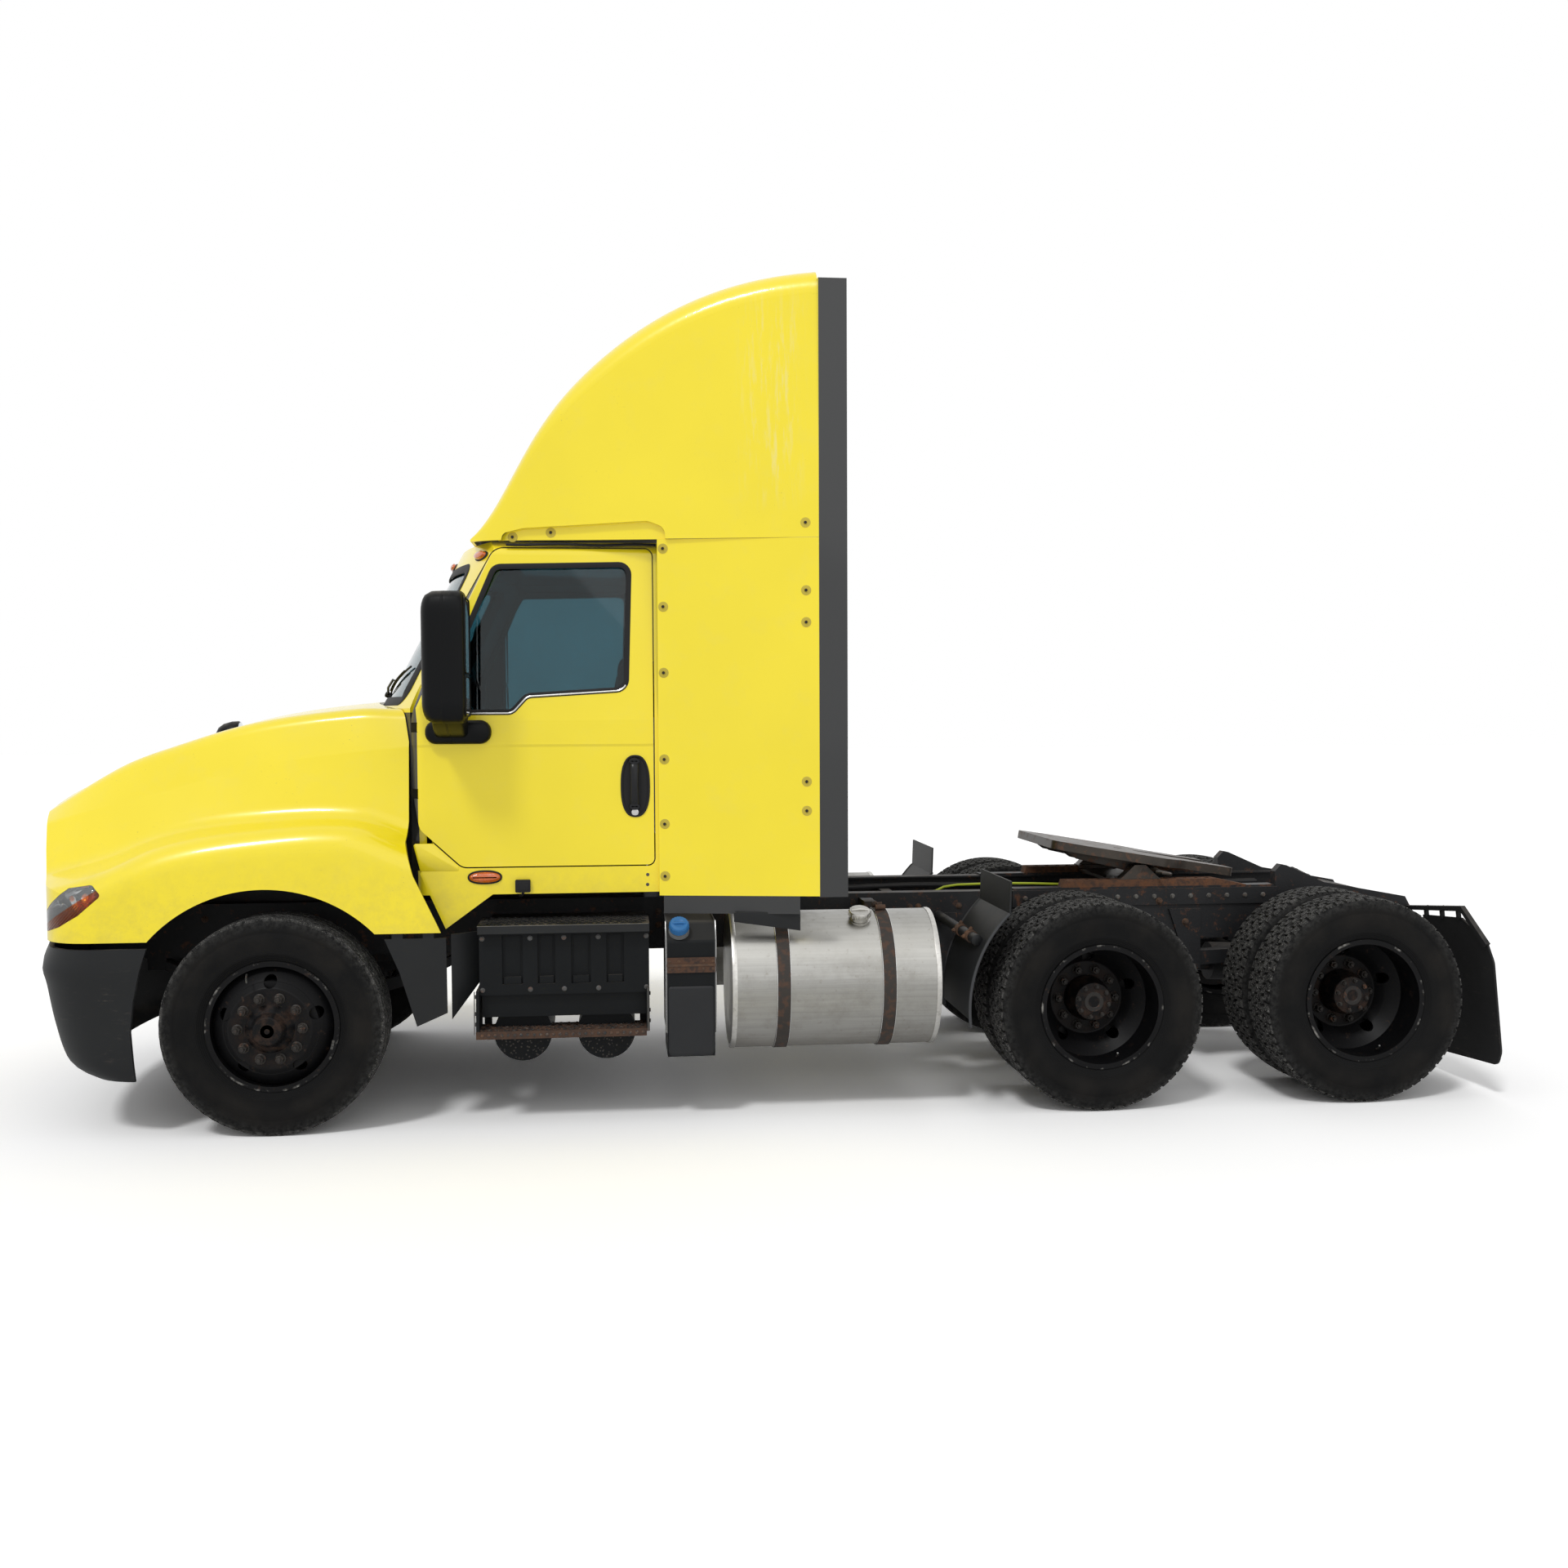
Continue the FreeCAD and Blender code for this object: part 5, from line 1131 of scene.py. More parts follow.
@both_sides
def panel_screws(side, name):
    """Screws with washers, seated where lines from the side meet a panel, a thin dark disc of painted shade
    over each screw's recess, and the skirt's plate.
    """
    extender, r, height = "extender_" + name, 0.0135, 0.006
    spots = [(extender, -1792, z) for z in (2691, 2420, 2111, 1704, 1399, 1152)]
    spots += [(extender, -2452, z) for z in (2490, 2342, 1599, 1462)]
    spots += [("roof_fairing", x, z) for x, z in ((-2450, 2803), (-1092, 2751), (-1271, 2771))]
    screws, recess_shades = Shape(), Shape()
    for node, x, z in spots:
        spot, normal = from_side(node, side, x, z)
        washer = [(0, r * 1.75), (0.0012, r * 1.75), (0.0022, r * 1.4), (0.0022, r * 1.2)]
        screws.lathe(washer, spot, normal, 22)
        screws.screw(spot + normal * 0.001, normal, r, height)
        top = spot + normal * (height + 0.001)
        # painted shade: a thin dark disc laid over the screw's recess
        recess_shades.lathe([(0, r * 0.55), (0.0008, r * 0.5), (0.0008, 0)], top, normal, 12)
    recess_shades.make("panel_screws_" + name + "_sockets", "socket_dark", smooth=False)
    screws.make("panel_screws_" + name, "panel_screw", angle=40)
    plate = Shape().plate([(-2110, 940), (-2424, 893), (-2424, 984), (-2110, 984)], side, 1150, 4)
    plate.plate([(-2130, 970), (-2400, 960), (-2400, 984), (-2130, 984)], side, 1146, -50)
    plate.make("skirt_plate_" + name, "black_plastic", bevel=0.0008)


def marker_lamps():
    """Five small lamps on the header above the windshield."""
    lamps, bases = Shape(), Shape()
    for y in (-870, -210, 0, 210, 870):
        spot, normal = surface("cab", P(-160 - 0.125 * y * y / 870 * 0.95, y, 2670), (-1, 0, 0))
        across = UP.cross(normal).normalized()
        up = normal.cross(across)
        for shape, grow, top in ((bases, 1.22, 0.008), (lamps, 1.0, 0.026)):
            shape.loops([circle(spot + normal * (top * h), across * 0.062, up * 0.021, grow * a, 28)
                         for a, h in ((1.0, -0.006), (1.0, 0.35), (0.9, 0.75), (0.6, 0.95), (0.2, 1.0))])
    bases.make("marker_bases", "seal_rubber")
    lamps.make("marker_lamps", "amber_lens")


# ---------------------------------------------------------------- mirrors
MIRROR_FRAME = ((-1, 2), (-1, -5), (3, -6.5), (7, -4), (8, 2))


@both_sides
def mirror_heads(side, name):
    """Door mirrors: oval foot, arm and a tall head with a crease down its outer face."""
    foot = rect(-988, -686, 1782, 1893, 52, 10)
    whole = Shape().loops([seen_from_side(offset(foot, way), side, y)
                           for way, y in ((0, 1028), (0, 1062), (-6, 1076), (-18, 1084))])
    arm = rect(-880, -735, 1815, 1900, 22, 6)
    whole.loops([[P(x, side * y, z + up) for x, z in offset(arm, way)] for y, way, up in
                 ((1070, 6, 0), (1120, 0, 6), (1200, -4, 22), (1270, -8, 50), (1310, -14, 66))])
    rings = []
    for k in range(33):
        end = min(min(k, 32 - k) / 5, 1)
        d = 45 * (1 - math.sqrt(max(0.0, 1 - (1 - end) ** 2)))
        plan = rounded([(-900 + d * 0.3, 1120 + d, 26), (-900 + d * 0.3, 1390 - d, 26), (-812, 1390 - d, 20),
                        (-798, 1383 - d, 20), (-705 - d, 1362 - d, 60), (-705 - d, 1150 + d, 60)], 6)
        rings.append([P(x, side * y, 1880 + 590 * k / 32) for x, y in plan])
    head = whole.loops(rings).make("mirror_head_" + name, "mirror_plastic", "door_" + name, angle=50)
    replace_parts(head, "mirror_" + name)


@both_sides
def mirrors(side, name):
    panes, frames = Shape(), Shape()
    for z0, z1 in ((2108, 2436), (1916, 2086)):
        outline = rect(1152, 1362, z0, z1, 26, 6)

        def rings(steps):
            return [[P(-900 + back, side * y, z) for y, z in offset(outline, grow)] for grow, back in steps]
        panes.loops(rings(((0, 2), (0, -2.2), (-5, -3))))
        frame_rings = rings(MIRROR_FRAME)
        frames.loops(frame_rings + frame_rings[:1], ends=False)
    panes.make("mirror_panes_" + name, "mirror_glass", "door_" + name)
    frames.make("mirror_frames_" + name, "mirror_plastic", "door_" + name)


# ---------------------------------------------------------------- hood, lamps and bumper
# x, top height, shoulder half width, its drop below the top, crease half width and height,
# valley half width and height, fender height
HOOD_ROWS = [
    (1400, 1470, 560, 170, 680, 1330, 800, 1110, 1010),
    (800, 1727, 725, 62, 805, 1500, 905, 1265, 1165),
    (500, 1825, 790, 47, 855, 1580, 950, 1375, 1295),
    (120, 1930, 855, 45, 915, 1680, 985, 1435, 1360),
    (-350, 1992, 900, 45, 960, 1745, 1012, 1450, 1378),
    (-560, 1989, 905, 45, 970, 1763, 1016, 1390, 1290),
    (-780, 1985, 910, 45, 980, 1780, 1018, 1300, 1180),
]
HOOD_HALF = 1180
HOOD_REAR = [(-600, 2300), (-600, 1420), (-592, 1330), (-635, 1180), (-757, 920), (-757, 300), (-1500, 300),
             (-1500, 2300)]
HOOD_FOOT = [(-1000, 400), (1500, 400), (1500, 900), (-100, 900), (-100, 918), (-1000, 918)]
WHEEL_ARCH = [(34 + 683 * math.cos(t), 447 + 683 * math.sin(t)) for t in turn(128)]
MOUTH = rounded([(-440, 1400, 40), (440, 1400, 40), (520, 940, 40), (-520, 940, 40)], 6)
# Outline of the headlamp in side view
LAMP_EDGE = rounded([(1085, 938), (1045, 1010), (975, 1078), (890, 1145), (784, 1160, 20), (738, 1114, 15),
                     (840, 1026), (934, 972), (1010, 945)], 5)
# x, height, radius and depth of the lamp bowls
LAMP_BOWLS = ((985, 1025, 36, 55), (905, 1078, 32, 50), (838, 1112, 20, 42))
# z, setback of the nose, narrowing of the half width
BUMPER_ROWS = [(262, 225, 30), (300, 150, 22), (360, 98, 15), (520, 50, 8), (700, 16, 2), (775, 0, 0),
               (870, 34, 6)]
BUMPER_BACK = [(537, 900), (579, 763), (609, 627), (625, 490), (610, 200), (0, 200), (0, 900)]
WIDE = 1400


def nose_plan(nose_x, radius, half, corner, back_x):
    """Plan of a panel with a wide front arc, round corners and straight sides."""
    def front(y):
        return nose_x - radius + math.sqrt(radius * radius - y * y)
    arc = [(front(y), y) for y in [0.68 * half * (1 - k / 8) for k in range(17)]]
    return rounded([(back_x, half), (front(half), half, corner)] + arc +
                   [(front(half), -half, corner), (back_x, -half)], 10)


def between(rows, x):
    """Smooth run of a table's columns between its rows, by the first column."""
    for i in range(len(rows) - 1):
        a, b = rows[i], rows[i + 1]
        if min(a[0], b[0]) <= x <= max(a[0], b[0]):
            break
    before, after = rows[max(i - 1, 0)], rows[min(i + 2, len(rows) - 1)]
    gap = b[0] - a[0]
    t = (x - a[0]) / gap
    out = []
    for c in range(1, len(a)):
        start = (b[c] - before[c]) / (b[0] - before[0]) * gap
        end = (after[c] - a[c]) / (after[0] - a[0]) * gap
        out.append(a[c] * (1 + 2 * t) * (1 - t) ** 2 + start * t * (1 - t) ** 2 +
                   b[c] * t * t * (3 - 2 * t) + end * t * t * (t - 1))
    return out


def hood_skin(t):
    """Closed body of the hood, drawn in by t."""
    rings = []
    for k in range(61):
        x = 1400 - 2180 * k / 60
        top, shoulder, drop, crease, crease_z, valley, valley_z, fender_z = between(HOOD_ROWS, x)
        half = [(HOOD_HALF - t, 700 - t), (HOOD_HALF - t, fender_z - t, 140), (valley - t, valley_z - t, 110),
                (crease - t, crease_z - t, 70), (shoulder - t, top - drop - t, 75), (0, top - t, 5000)]
        ring = rounded(half + [(-p[0], *p[1:]) for p in reversed(half[:-1])], 8)
        rings.append([P(x, y, z) for y, z in ring])
    return Shape().loops(rings)


def hood_front(t):
    """Limits of the hood towards the nose: rounded in plan and in side view."""
    side = rounded([(1210 - t, 500), (1184 - t, 1562 - t, 240), (880, 1704 - t), (600, 2300), (-950, 2300),
                    (-950, 500)], 12)
    return [prism(nose_plan(1200 - t, 3200 - t, HOOD_HALF - t, 250 - t, -900), "xy", 600, 2200),
            prism(side, "xz", -1300, 1300)]


def hood_pieces():
    lamps = {side: [prism(offset(LAMP_EDGE, grow), "xz", side * 600, side * 1300) for grow in (0, 1)]
             for side in (1, -1)}
    cuts = [formed(hood_skin(14), hood_front(14)), prism(HOOD_REAR, "xz", -WIDE, WIDE),
            prism(nose_plan(-348, 2012, 1042, 60, -1800), "xy", 500, 2200),
            prism(HOOD_FOOT, "xz", -WIDE, WIDE), prism(WHEEL_ARCH, "xz", 700, WIDE),
            prism(WHEEL_ARCH, "xz", -WIDE, -700), prism(MOUTH, "yz", 1000, 1400), lamps[1][1], lamps[-1][1]]
    shell = formed(hood_skin(0), hood_front(0), cuts)
    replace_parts(shell.make("hood_shell", "yellow_hood", "hood", angle=28), "hood")
    for side, name in ((1, "left"), (-1, "right")):
        headlamp(side, name, formed(hood_skin(0), hood_front(0) + [lamps[side][0]],
                                    [formed(hood_skin(28), hood_front(28))]))


def hood_mirror():
    """Round mirror on a stalk at the right of the hood."""
    back = [(0, 0.07), (0.002, 0.08), (0.012, 0.085), (0.05, 0.083), (0.095, 0.07), (0.125, 0.048),
            (0.14, 0.02), (0.142, 0)]
    mirror = Shape().lathe(back, P(640, -1090, 1800), AHEAD, 48)
    mirror.tube([P(795, -944, 1180), P(775, -975, 1320), P(740, -1040, 1570), P(715, -1080, 1755)], 0.014, 14)
    mirror.lathe([(-0.01, 0.03), (0.006, 0.028), (0.012, 0.016)], P(797, -942, 1170), (-0.1, -0.45, 0.9), 20)
    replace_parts(mirror.make("hood_mirror_head", "mirror_plastic", "hood", angle=50), "hood_mirror")
    pane = [(0, 0.079), (0.002, 0.078), (0.006, 0.05), (0.0075, 0)]
    Shape().lathe(pane, P(642, -1090, 1800), -AHEAD, 40).make("hood_mirror_pane", "mirror_glass", "hood")


def headlamp(side, name, lamp):
    """Lens, dark housing pushed back behind it, and bowls, from the solid that the lamp takes up."""
    bm = lamp.form()
    bm.faces.ensure_lookup_table()
    bm.verts.index_update()
    front = [f for f in bm.faces if f.normal.y * side > 0.05 or f.normal.x > 0.4]
    rest = [f for f in bm.faces if f not in set(front)]
    back = {v.index for f in rest if f.normal.y * side < -0.05 or f.normal.x < -0.4 for v in f.verts}
    for part, faces, moved in (("lens", front, set()), ("housing", rest, back)):
        places = {v.index: v.co for f in faces for v in f.verts}
        used = sorted(places)
        number = {v: i for i, v in enumerate(used)}
        push = Vector((-0.05, -0.05 * side, 0))
        shape = Shape().add([places[v] + push if v in moved else places[v] for v in used],
                            [[number[v.index] for v in f.verts] for f in faces])
        made = shape.make("lamp_" + part + "_" + name, "lamp_" + part, "hood")
        if part == "lens":
            wall = made.modifiers.new("wall", "SOLIDIFY")
            wall.thickness, wall.offset = 0.003, -1
            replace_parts(made, "headlamp_" + name)
    tree = BVHTree.FromPolygons([v.co for v in bm.verts], [[v.index for v in f.verts] for f in bm.faces])
    bm.free()
    bowls = Shape()
    bowl = [(-0.45, 0.12), (-0.38, 0.45), (-0.12, 0.8), (0.3, 1), (0.36, 1.04), (0.3, 1.1), (-0.4, 0.6)]
    bulb = [(-0.42, 0.1), (-0.1, 0.24), (0.12, 0.26), (0.24, 0.16), (0.28, 0)]
    for x, z, r, inward in LAMP_BOWLS:
        spot, normal, _, _ = tree.ray_cast(P(x, side * 1700, z), Vector((0, -side, 0)))
        aim = (normal + AHEAD * 0.5).normalized()
        deep = spot - aim * (inward / 1000)
        for profile, sides in ((bowl, 32), (bulb, 20)):
            bowls.lathe([(a * r / 1000, b * r / 1000) for a, b in profile], deep, aim, sides)
    bowls.make("lamp_bowls_" + name, "bowl_chrome", "hood", angle=50)


def bumper_piece():
    def body(t, stretch):
        rings = []
        for k in range(25):
            z = 262 + 608 * k / 24
            setback, narrow = between(BUMPER_ROWS, z)
            level = z + {0: -stretch, 24: stretch}.get(k, 0)
            plan = nose_plan(1225 - setback - t, 3200 - t, 1190 - narrow - t, 260 - t, 300)
            rings.append([P(x, y, level) for x, y in plan])
        return Shape().loops(rings)
    shell = formed(body(0, 0), cut=[body(22, 8), prism(BUMPER_BACK, "xz", -WIDE, WIDE)])
    for y in (370, -430):
        shell.block(1028, 1194, y, y + 60, 640, 850)
    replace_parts(shell.make("bumper_shell", "bumper_plastic", angle=32), "bumper")


@both_sides
def cab_corners(side, name):
    """Painted corner of the cab ahead of the door, and the black panel beside the steps."""
    outline = rounded([(-664, 1188, 6), (-652, 1188, 6), (-621, 1310, 8), (-630, 1317, 6), (-708, 1317, 8),
                       (-828, 1206, 8), (-828, 1188, 6)], 4)
    corner = Shape().loops([seen_from_side(offset(outline, way), side, y)
                            for way, y in ((0, 1016), (0, 1030.5), (-2, 1032.5))])
    corner.make("cab_corner_" + name, "yellow_paint", angle=50)
    plan = [(x, side * y) for x, y in ((-800, 1140), (-936, 1032), (-936, 1022), (-800, 1130))]
    edge = prism([(-790, 495), (-940, 690), (-940, 905), (-790, 905)], "xz", side * 900, side * 1200)
    formed(prism(plan, "xy", 450, 905), [edge]).make("step_corner_" + name, "black_plastic", bevel=0.002)


# ---------------------------------------------------------------- grille and windshield
SCREEN_LOW, SCREEN_HIGH, SCREEN_DEPTH, SCREEN_WIRE = 948, 1392, 27, 0.0011


def hood_face(y, z):
    """Front of the hood at a place."""
    return min(1200 - y * y / 6400, 1210 - (z - 600) * 0.045)


def grille_mesh():
    """Woven screen behind the grille bars."""
    shape = Shape()
    for k in range(31):
        z = SCREEN_LOW + (SCREEN_HIGH - SCREEN_LOW) * k / 30
        half = 516 - (z - 940) * 80 / 460
        across = [-half + 2 * half * i / 36 for i in range(37)]
        shape.tube([P(hood_face(y, z) - SCREEN_DEPTH - (2 if (j + k) % 2 else 0), y, z)
                    for j, y in enumerate(across)], SCREEN_WIRE, 4)
    for y in range(-495, 496, 15):
        top = min(SCREEN_HIGH, 940 + (516 - abs(y)) * 460 / 80)
        if top > SCREEN_LOW + 40:
            steps = max(3, int((top - SCREEN_LOW) / 30))
            run = [SCREEN_LOW + (top - SCREEN_LOW) * i / steps for i in range(steps + 1)]
            shape.tube([P(hood_face(y, z) - SCREEN_DEPTH, y, z) for z in run], SCREEN_WIRE, 4)
    shape.make("grille_screen", "grille_wire", "hood")


def on_windshield(y, z, lift):
    spot, normal = surface("windshield", P(600, y, z), -AHEAD)
    return spot + normal * lift


def windshield_seal():
    """Black band round the windshield; lifts and steps outward along its section."""
    border, dense = rounded([(-840, 1990, 60), (840, 1990, 60), (780, 2620, 60), (-780, 2620, 60)], 8), []
    for a, b in zip(border, border[1:] + border[:1]):
        parts = max(1, int(math.hypot(a[0] - b[0], a[1] - b[1]) / 60))
        dense += [(a[0] + (b[0] - a[0]) * i / parts, a[1] + (b[1] - a[1]) * i / parts) for i in range(parts)]
    rings = []
    for way, lift in ((-16, -0.004), (-16, 0.001), (-8, 0.0035), (22, 0.0035), (26, 0.0015), (26, -0.004)):
        ring = []
        for y, z in offset(dense, way):
            if way > 1:
                spot, normal = surface("cab", P(600, max(-905, min(905, y)), z), -AHEAD)
            else:
                near = P(600, max(-790, min(790, y)), max(2000, min(2612, z)))
                spot, normal = surface("windshield", near, -AHEAD)
                spot = Vector((spot.x + 0.012, y / 1000, z / 1000))
            ring.append(spot + normal * lift)
        rings.append(ring)
    Shape().loops(rings + rings[:1], ends=False).make("windshield_seal", "seal_rubber", angle=60)


def wipers():
    arms, blades = Shape(), Shape()
    for y0, y1, z1 in ((120, 640, 2150), (-560, -60, 2120)):
        foot = on_windshield(y0, 2012, 0.022)
        elbow = on_windshield(y0 + (y1 - y0) * 0.45, 2012 + (z1 - 2012) * 0.5, 0.03)
        run = [on_windshield(y0 + (y1 - y0) * i / 14, 2020 + (z1 - 2020) * i / 14, 0.011) for i in range(15)]
        arms.lathe([(-0.03, 0.016), (0.012, 0.016), (0.016, 0.01), (0.016, 0)], foot, (0.9, 0, 0.43), 16)
        arms.tube([foot, foot.lerp(elbow, 0.5) + AHEAD * 0.012, elbow], 0.0065, 8)
        arms.tube([elbow, run[7] + AHEAD * 0.006], 0.005, 8)
        blades.tube(run, 0.005, 6)
        blades.tube([p + AHEAD * 0.008 for p in run[2:-2]], 0.0035, 6)
    arms.make("wiper_arms", "gloss_black")
    blades.make("wiper_blades", "seal_rubber")


# ---------------------------------------------------------------- side equipment
TANK_ENDS = ((-3095, -1), (-2100, 1))
TANK_Y, TANK_Z, TANK_R = 870, 622, 330


def on_tank(x, side, lift, t):
    r = TANK_R + lift
    return P(x, side * (TANK_Y + r * math.cos(t)), TANK_Z + r * math.sin(t))


@both_sides
def tank_pieces(side, name):
    rims, edges, bolts = Shape(), Shape(), Shape()
    rim = [(a, (TANK_R + lift) / 1000) for a, lift in
           ((-0.022, -6), (-0.022, 2.5), (-0.006, 4.5), (0.0008, 2), (0.0012, -14), (-0.001, -22),
            (-0.001, -30))]
    for x, out in TANK_ENDS:
        rims.lathe(rim, P(x, side * TANK_Y, TANK_Z), (out, 0, 0), 96, ends=False)
    rims.make("tank_rims_" + name, "tank_rim", angle=40)
    for strap in STRAPS:
        for x in (strap - 31.5, strap + 31.5):
            edges.tube([on_tank(x, side, 3.5, t) for t in sweep(-118, 118, 96)], 0.0022, 6)
        # band end, its T-bolt and the lug above the tank
        top = on_tank(strap, side, 8, math.radians(98))
        bolts.tube([top + Vector((0, side * 0.11, 0.012)), top + Vector((0, -side * 0.05, 0.018))], 0.0065)
        bolts.hexnut(top + Vector((0, side * 0.075, 0.013)), (0, side, 0), 0.0125, 0.014)
        for dy in (0.10, 0.0):
            bolts.lathe([(-0.024, 0.013), (0.024, 0.013)], top + Vector((0, side * dy, 0.012)), AHEAD, 16)
    edges.make("strap_edges_" + name, "bright_steel")
    bolts.make("strap_bolts_" + name, "rusty_bolt")
    if side > 0:
        tank_filler()


def tank_filler():
    out = Vector((0, math.cos(math.radians(66)), math.sin(math.radians(66))))
    foot = P(-2728, TANK_Y, TANK_Z) + out * (TANK_R - 2) / 1000
    collar = [(-0.01, 0.052), (0.004, 0.052), (0.006, 0.045), (0.026, 0.044)]
    cap = [(0.02, 0.049), (0.024, 0.052), (0.046, 0.052), (0.05, 0.049), (0.052, 0.03), (0.052, 0)]
    neck = Shape().lathe(collar, foot, out, 36, ends=False).lathe(cap, foot, out, 36)
    neck.knurled(foot, out, 18, (0.025, 0.0525), (0.045, 0.0525), 0.0035, (0.051, 0.056, 0.04, 0.007))
    neck.make("tank_filler_left", "filler_metal", angle=40)


def def_pieces():
    start = P(-1852, 1110, 890)
    out = (P(-1852, 1148, 930) - start).normalized()
    neck = [(0.006, 0.036), (0.006, 0.05), (0.02, 0.048), (0.024, 0.0415), (0.034, 0.0405)]
    Shape().lathe(neck, start, out).make("def_neck", "neck_grey")
    profile = [(0.03, 0.038), (0.03, 0.0445), (0.036, 0.046), (0.062, 0.044), (0.068, 0.04), (0.07, 0.026),
               (0.0675, 0.022), (0.0675, 0)]
    cap = Shape().lathe(profile, start, out, 40)
    cap.knurled(start, out, 22, (0.036, 0.0455), (0.062, 0.0435), 0.0032, (0.069, 0.0715, 0.03, 0.006))
    cap.make("def_cap", "cap_blue", angle=40)
    rivets = Shape()
    for x in (-2010, -1965, -1850, -1806):
        for z in (722, 759):
            rivets.screw(P(x, 1158, z), (0, 1, 0), 0.0075, 0.004, recess=False)
    rivets.block(-2022, -1792, 1158, 1160.5, 735, 746)
    rivets.make("def_strap_rivets", "rusty_bolt")
    trim = Shape()
    for x in (-2024.8, -1789.2):
        trim.tube([P(x, 1150.5, 424), P(x, 1150.5, 858), P(x, 1092, 941)], 0.0018, 6)
    trim.make("def_edges", "bright_steel")
    outline = rounded([(-2014, 640, 14), (-1800, 640, 14), (-1800, 312, 22), (-2014, 312, 22)], 5)
    shoulder = Shape().loops([seen_from_side(offset(outline, way), 1, 1150 + up)
                              for way, up in ((0, -1), (0, 4), (-5, 8), (-12, 8.5))])
    shoulder.make("def_shoulder", "def_plastic")


GRIP_PITCH = 38


def grip_strip(side, x0, x1, y0, y1, z):
    """Rows of raised oval rings with toothed tops, as on an open-grip plank."""
    shape = Shape()
    count = int((x1 - x0) / GRIP_PITCH)
    rows = max(1, int((y1 - y0) / 42))
    deep = (y1 - y0) / rows
    for row in range(rows):
        y = y0 + (row + 0.5) * deep
        for k in range(count):
            x = x0 + (k + 0.5 + (0.5 if row % 2 else 0)) * (x1 - x0) / (count + 0.5)
            ring = oval(x, y, GRIP_PITCH * 0.36, deep * 0.36, 12)
            inner = oval(x, y, GRIP_PITCH * 0.24, deep * 0.22, 12)
            shape.loops([[P(a, side * b, z + up + (1.6 if up and j % 3 == 0 else 0))
                          for j, (a, b) in enumerate(points)]
                         for points, up in ((ring, 0), (ring, 3.4), (inner, 3.4), (inner, 0))], ends=False)
    return shape


@both_sides
def step_pieces(side, name):
    out, face = (0, side, 0), 1181
    upper = grip_strip(side, -1705, -930, 900, 1174, 946)
    upper.plate(rect(-1712, -924, 908, 944), side, face, 3).make("step_top_grip_" + name, "step_black")
    lower = grip_strip(side, -1692, -915, 992, 1174, 453)
    stud = [(0, 0.008), (0.0022, 0.0072), (0.0026, 0.005)]
    for k in range(26):
        lower.lathe(stud, P(-1680 + k * 29.6, side * 1180, 436), out, 10)
    lower.make("step_low_grip_" + name, "step_grip")
    panels, bolts, edge = Shape(), Shape(), Shape()
    for front, rear in ((-1031, -1126), (-1194, -1275), (-1349, -1439), (-1512, -1594)):
        panels.plate(rect(rear + 8, front - 8, 666, 700), side, 1118, 14)
        panels.plate(rect(rear + 12, front - 12, 712, 890), side, 1119, 2.5)
    panels.make("step_panels_" + name, "step_box", bevel=0.003)
    for x in (-1698, -1475, -1316, -1160, -940):
        for z in (640, 880):
            bolts.hexnut(P(x, side * 1135, z), out, 0.0095, 0.0075)
    for x, way in ((-1711, -1), (-905, 1)):
        for z in (470, 520, 600):
            bolts.hexnut(P(x, side * 1080, z), (way, 0, 0), 0.009, 0.007)
    bolts.make("step_bolts_" + name, "panel_bolt")
    for x in (-1704, -905):
        edge.tube([P(x, side * face, 441), P(x, side * 1167, 640)], 0.0028, 6)
    edge.tube([P(-1709, side * 1181.5, 944), P(-922, side * 1181.5, 944)], 0.002, 6)
    edge.make("step_edges_" + name, "edge_steel")


# ---------------------------------------------------------------- frame
RAIL_FACE = 430


@both_sides
def frame_fasteners(side, name):
    nuts, bolts, out = Shape(), Shape(), (0, side, 0)
    spots = [(x, z) for x in (-60, -260, 240, 480, -3130, -3346, -5150, -5260, -5370) for z in (760, 905)]
    spots += [(x, z) for x in (-1774, -2429, -3084) for z in (835, 905)]
    for x, z in spots:
        nuts.hexnut(P(x, side * RAIL_FACE, z), out, 0.0135, 0.014, 0.008)
    for x, z in ((-4427, 913), (-4432, 864), (-4675, 868), (-4744, 858), (-4680, 775), (-4726, 769),
                 (-4500, 800), (-4570, 800)):
        try:
            spot, normal = from_side("rear_suspension" if z < 890 else "frame_rail_" + name, side, x, z)
        except ValueError:  # the suspension is open there
            continue
        nuts.hexnut(spot, out, 0.015, 0.016, 0.009)
    nuts.make("frame_nuts_" + name, "rusty_bolt")
    for k in range(14):
        bolts.hexnut(P(-3700 - 100 * k, side * 442, 938), out, 0.0105, 0.009)
    bolts.make("angle_bolts_" + name, "pale_bolt")


AIR_ROUTE = [(-2900, 190, 930), (-3100, 195, 940), (-3268, 200, 958), (-3312, 200, 979), (-3384, 200, 989),
             (-3523, 202, 992), (-3660, 205, 993), (-3795, 205, 990), (-3941, 205, 984), (-4010, 205, 950),
             (-4030, 205, 900)]


def air_lines():
    """Two plastic air lines along the frame, and the loom beside them."""
    for name, dy, dz in (("air_line_1", 0, 0), ("air_line_2", 16, 3)):
        Shape().tube([P(x, y + dy, z + dz) for x, y, z in AIR_ROUTE], 0.0065).make(name, "line_green")
    loom = Shape()
    for y, r in ((-330, 0.016), (-300, 0.011), (330, 0.013)):
        loom.tube([P(x, y + 6 * math.sin(x / 260), 928 + 5 * math.sin(x / 190))
                   for x in range(-1800, -5300, -120)], r)
    loom.make("frame_loom", "seal_rubber")


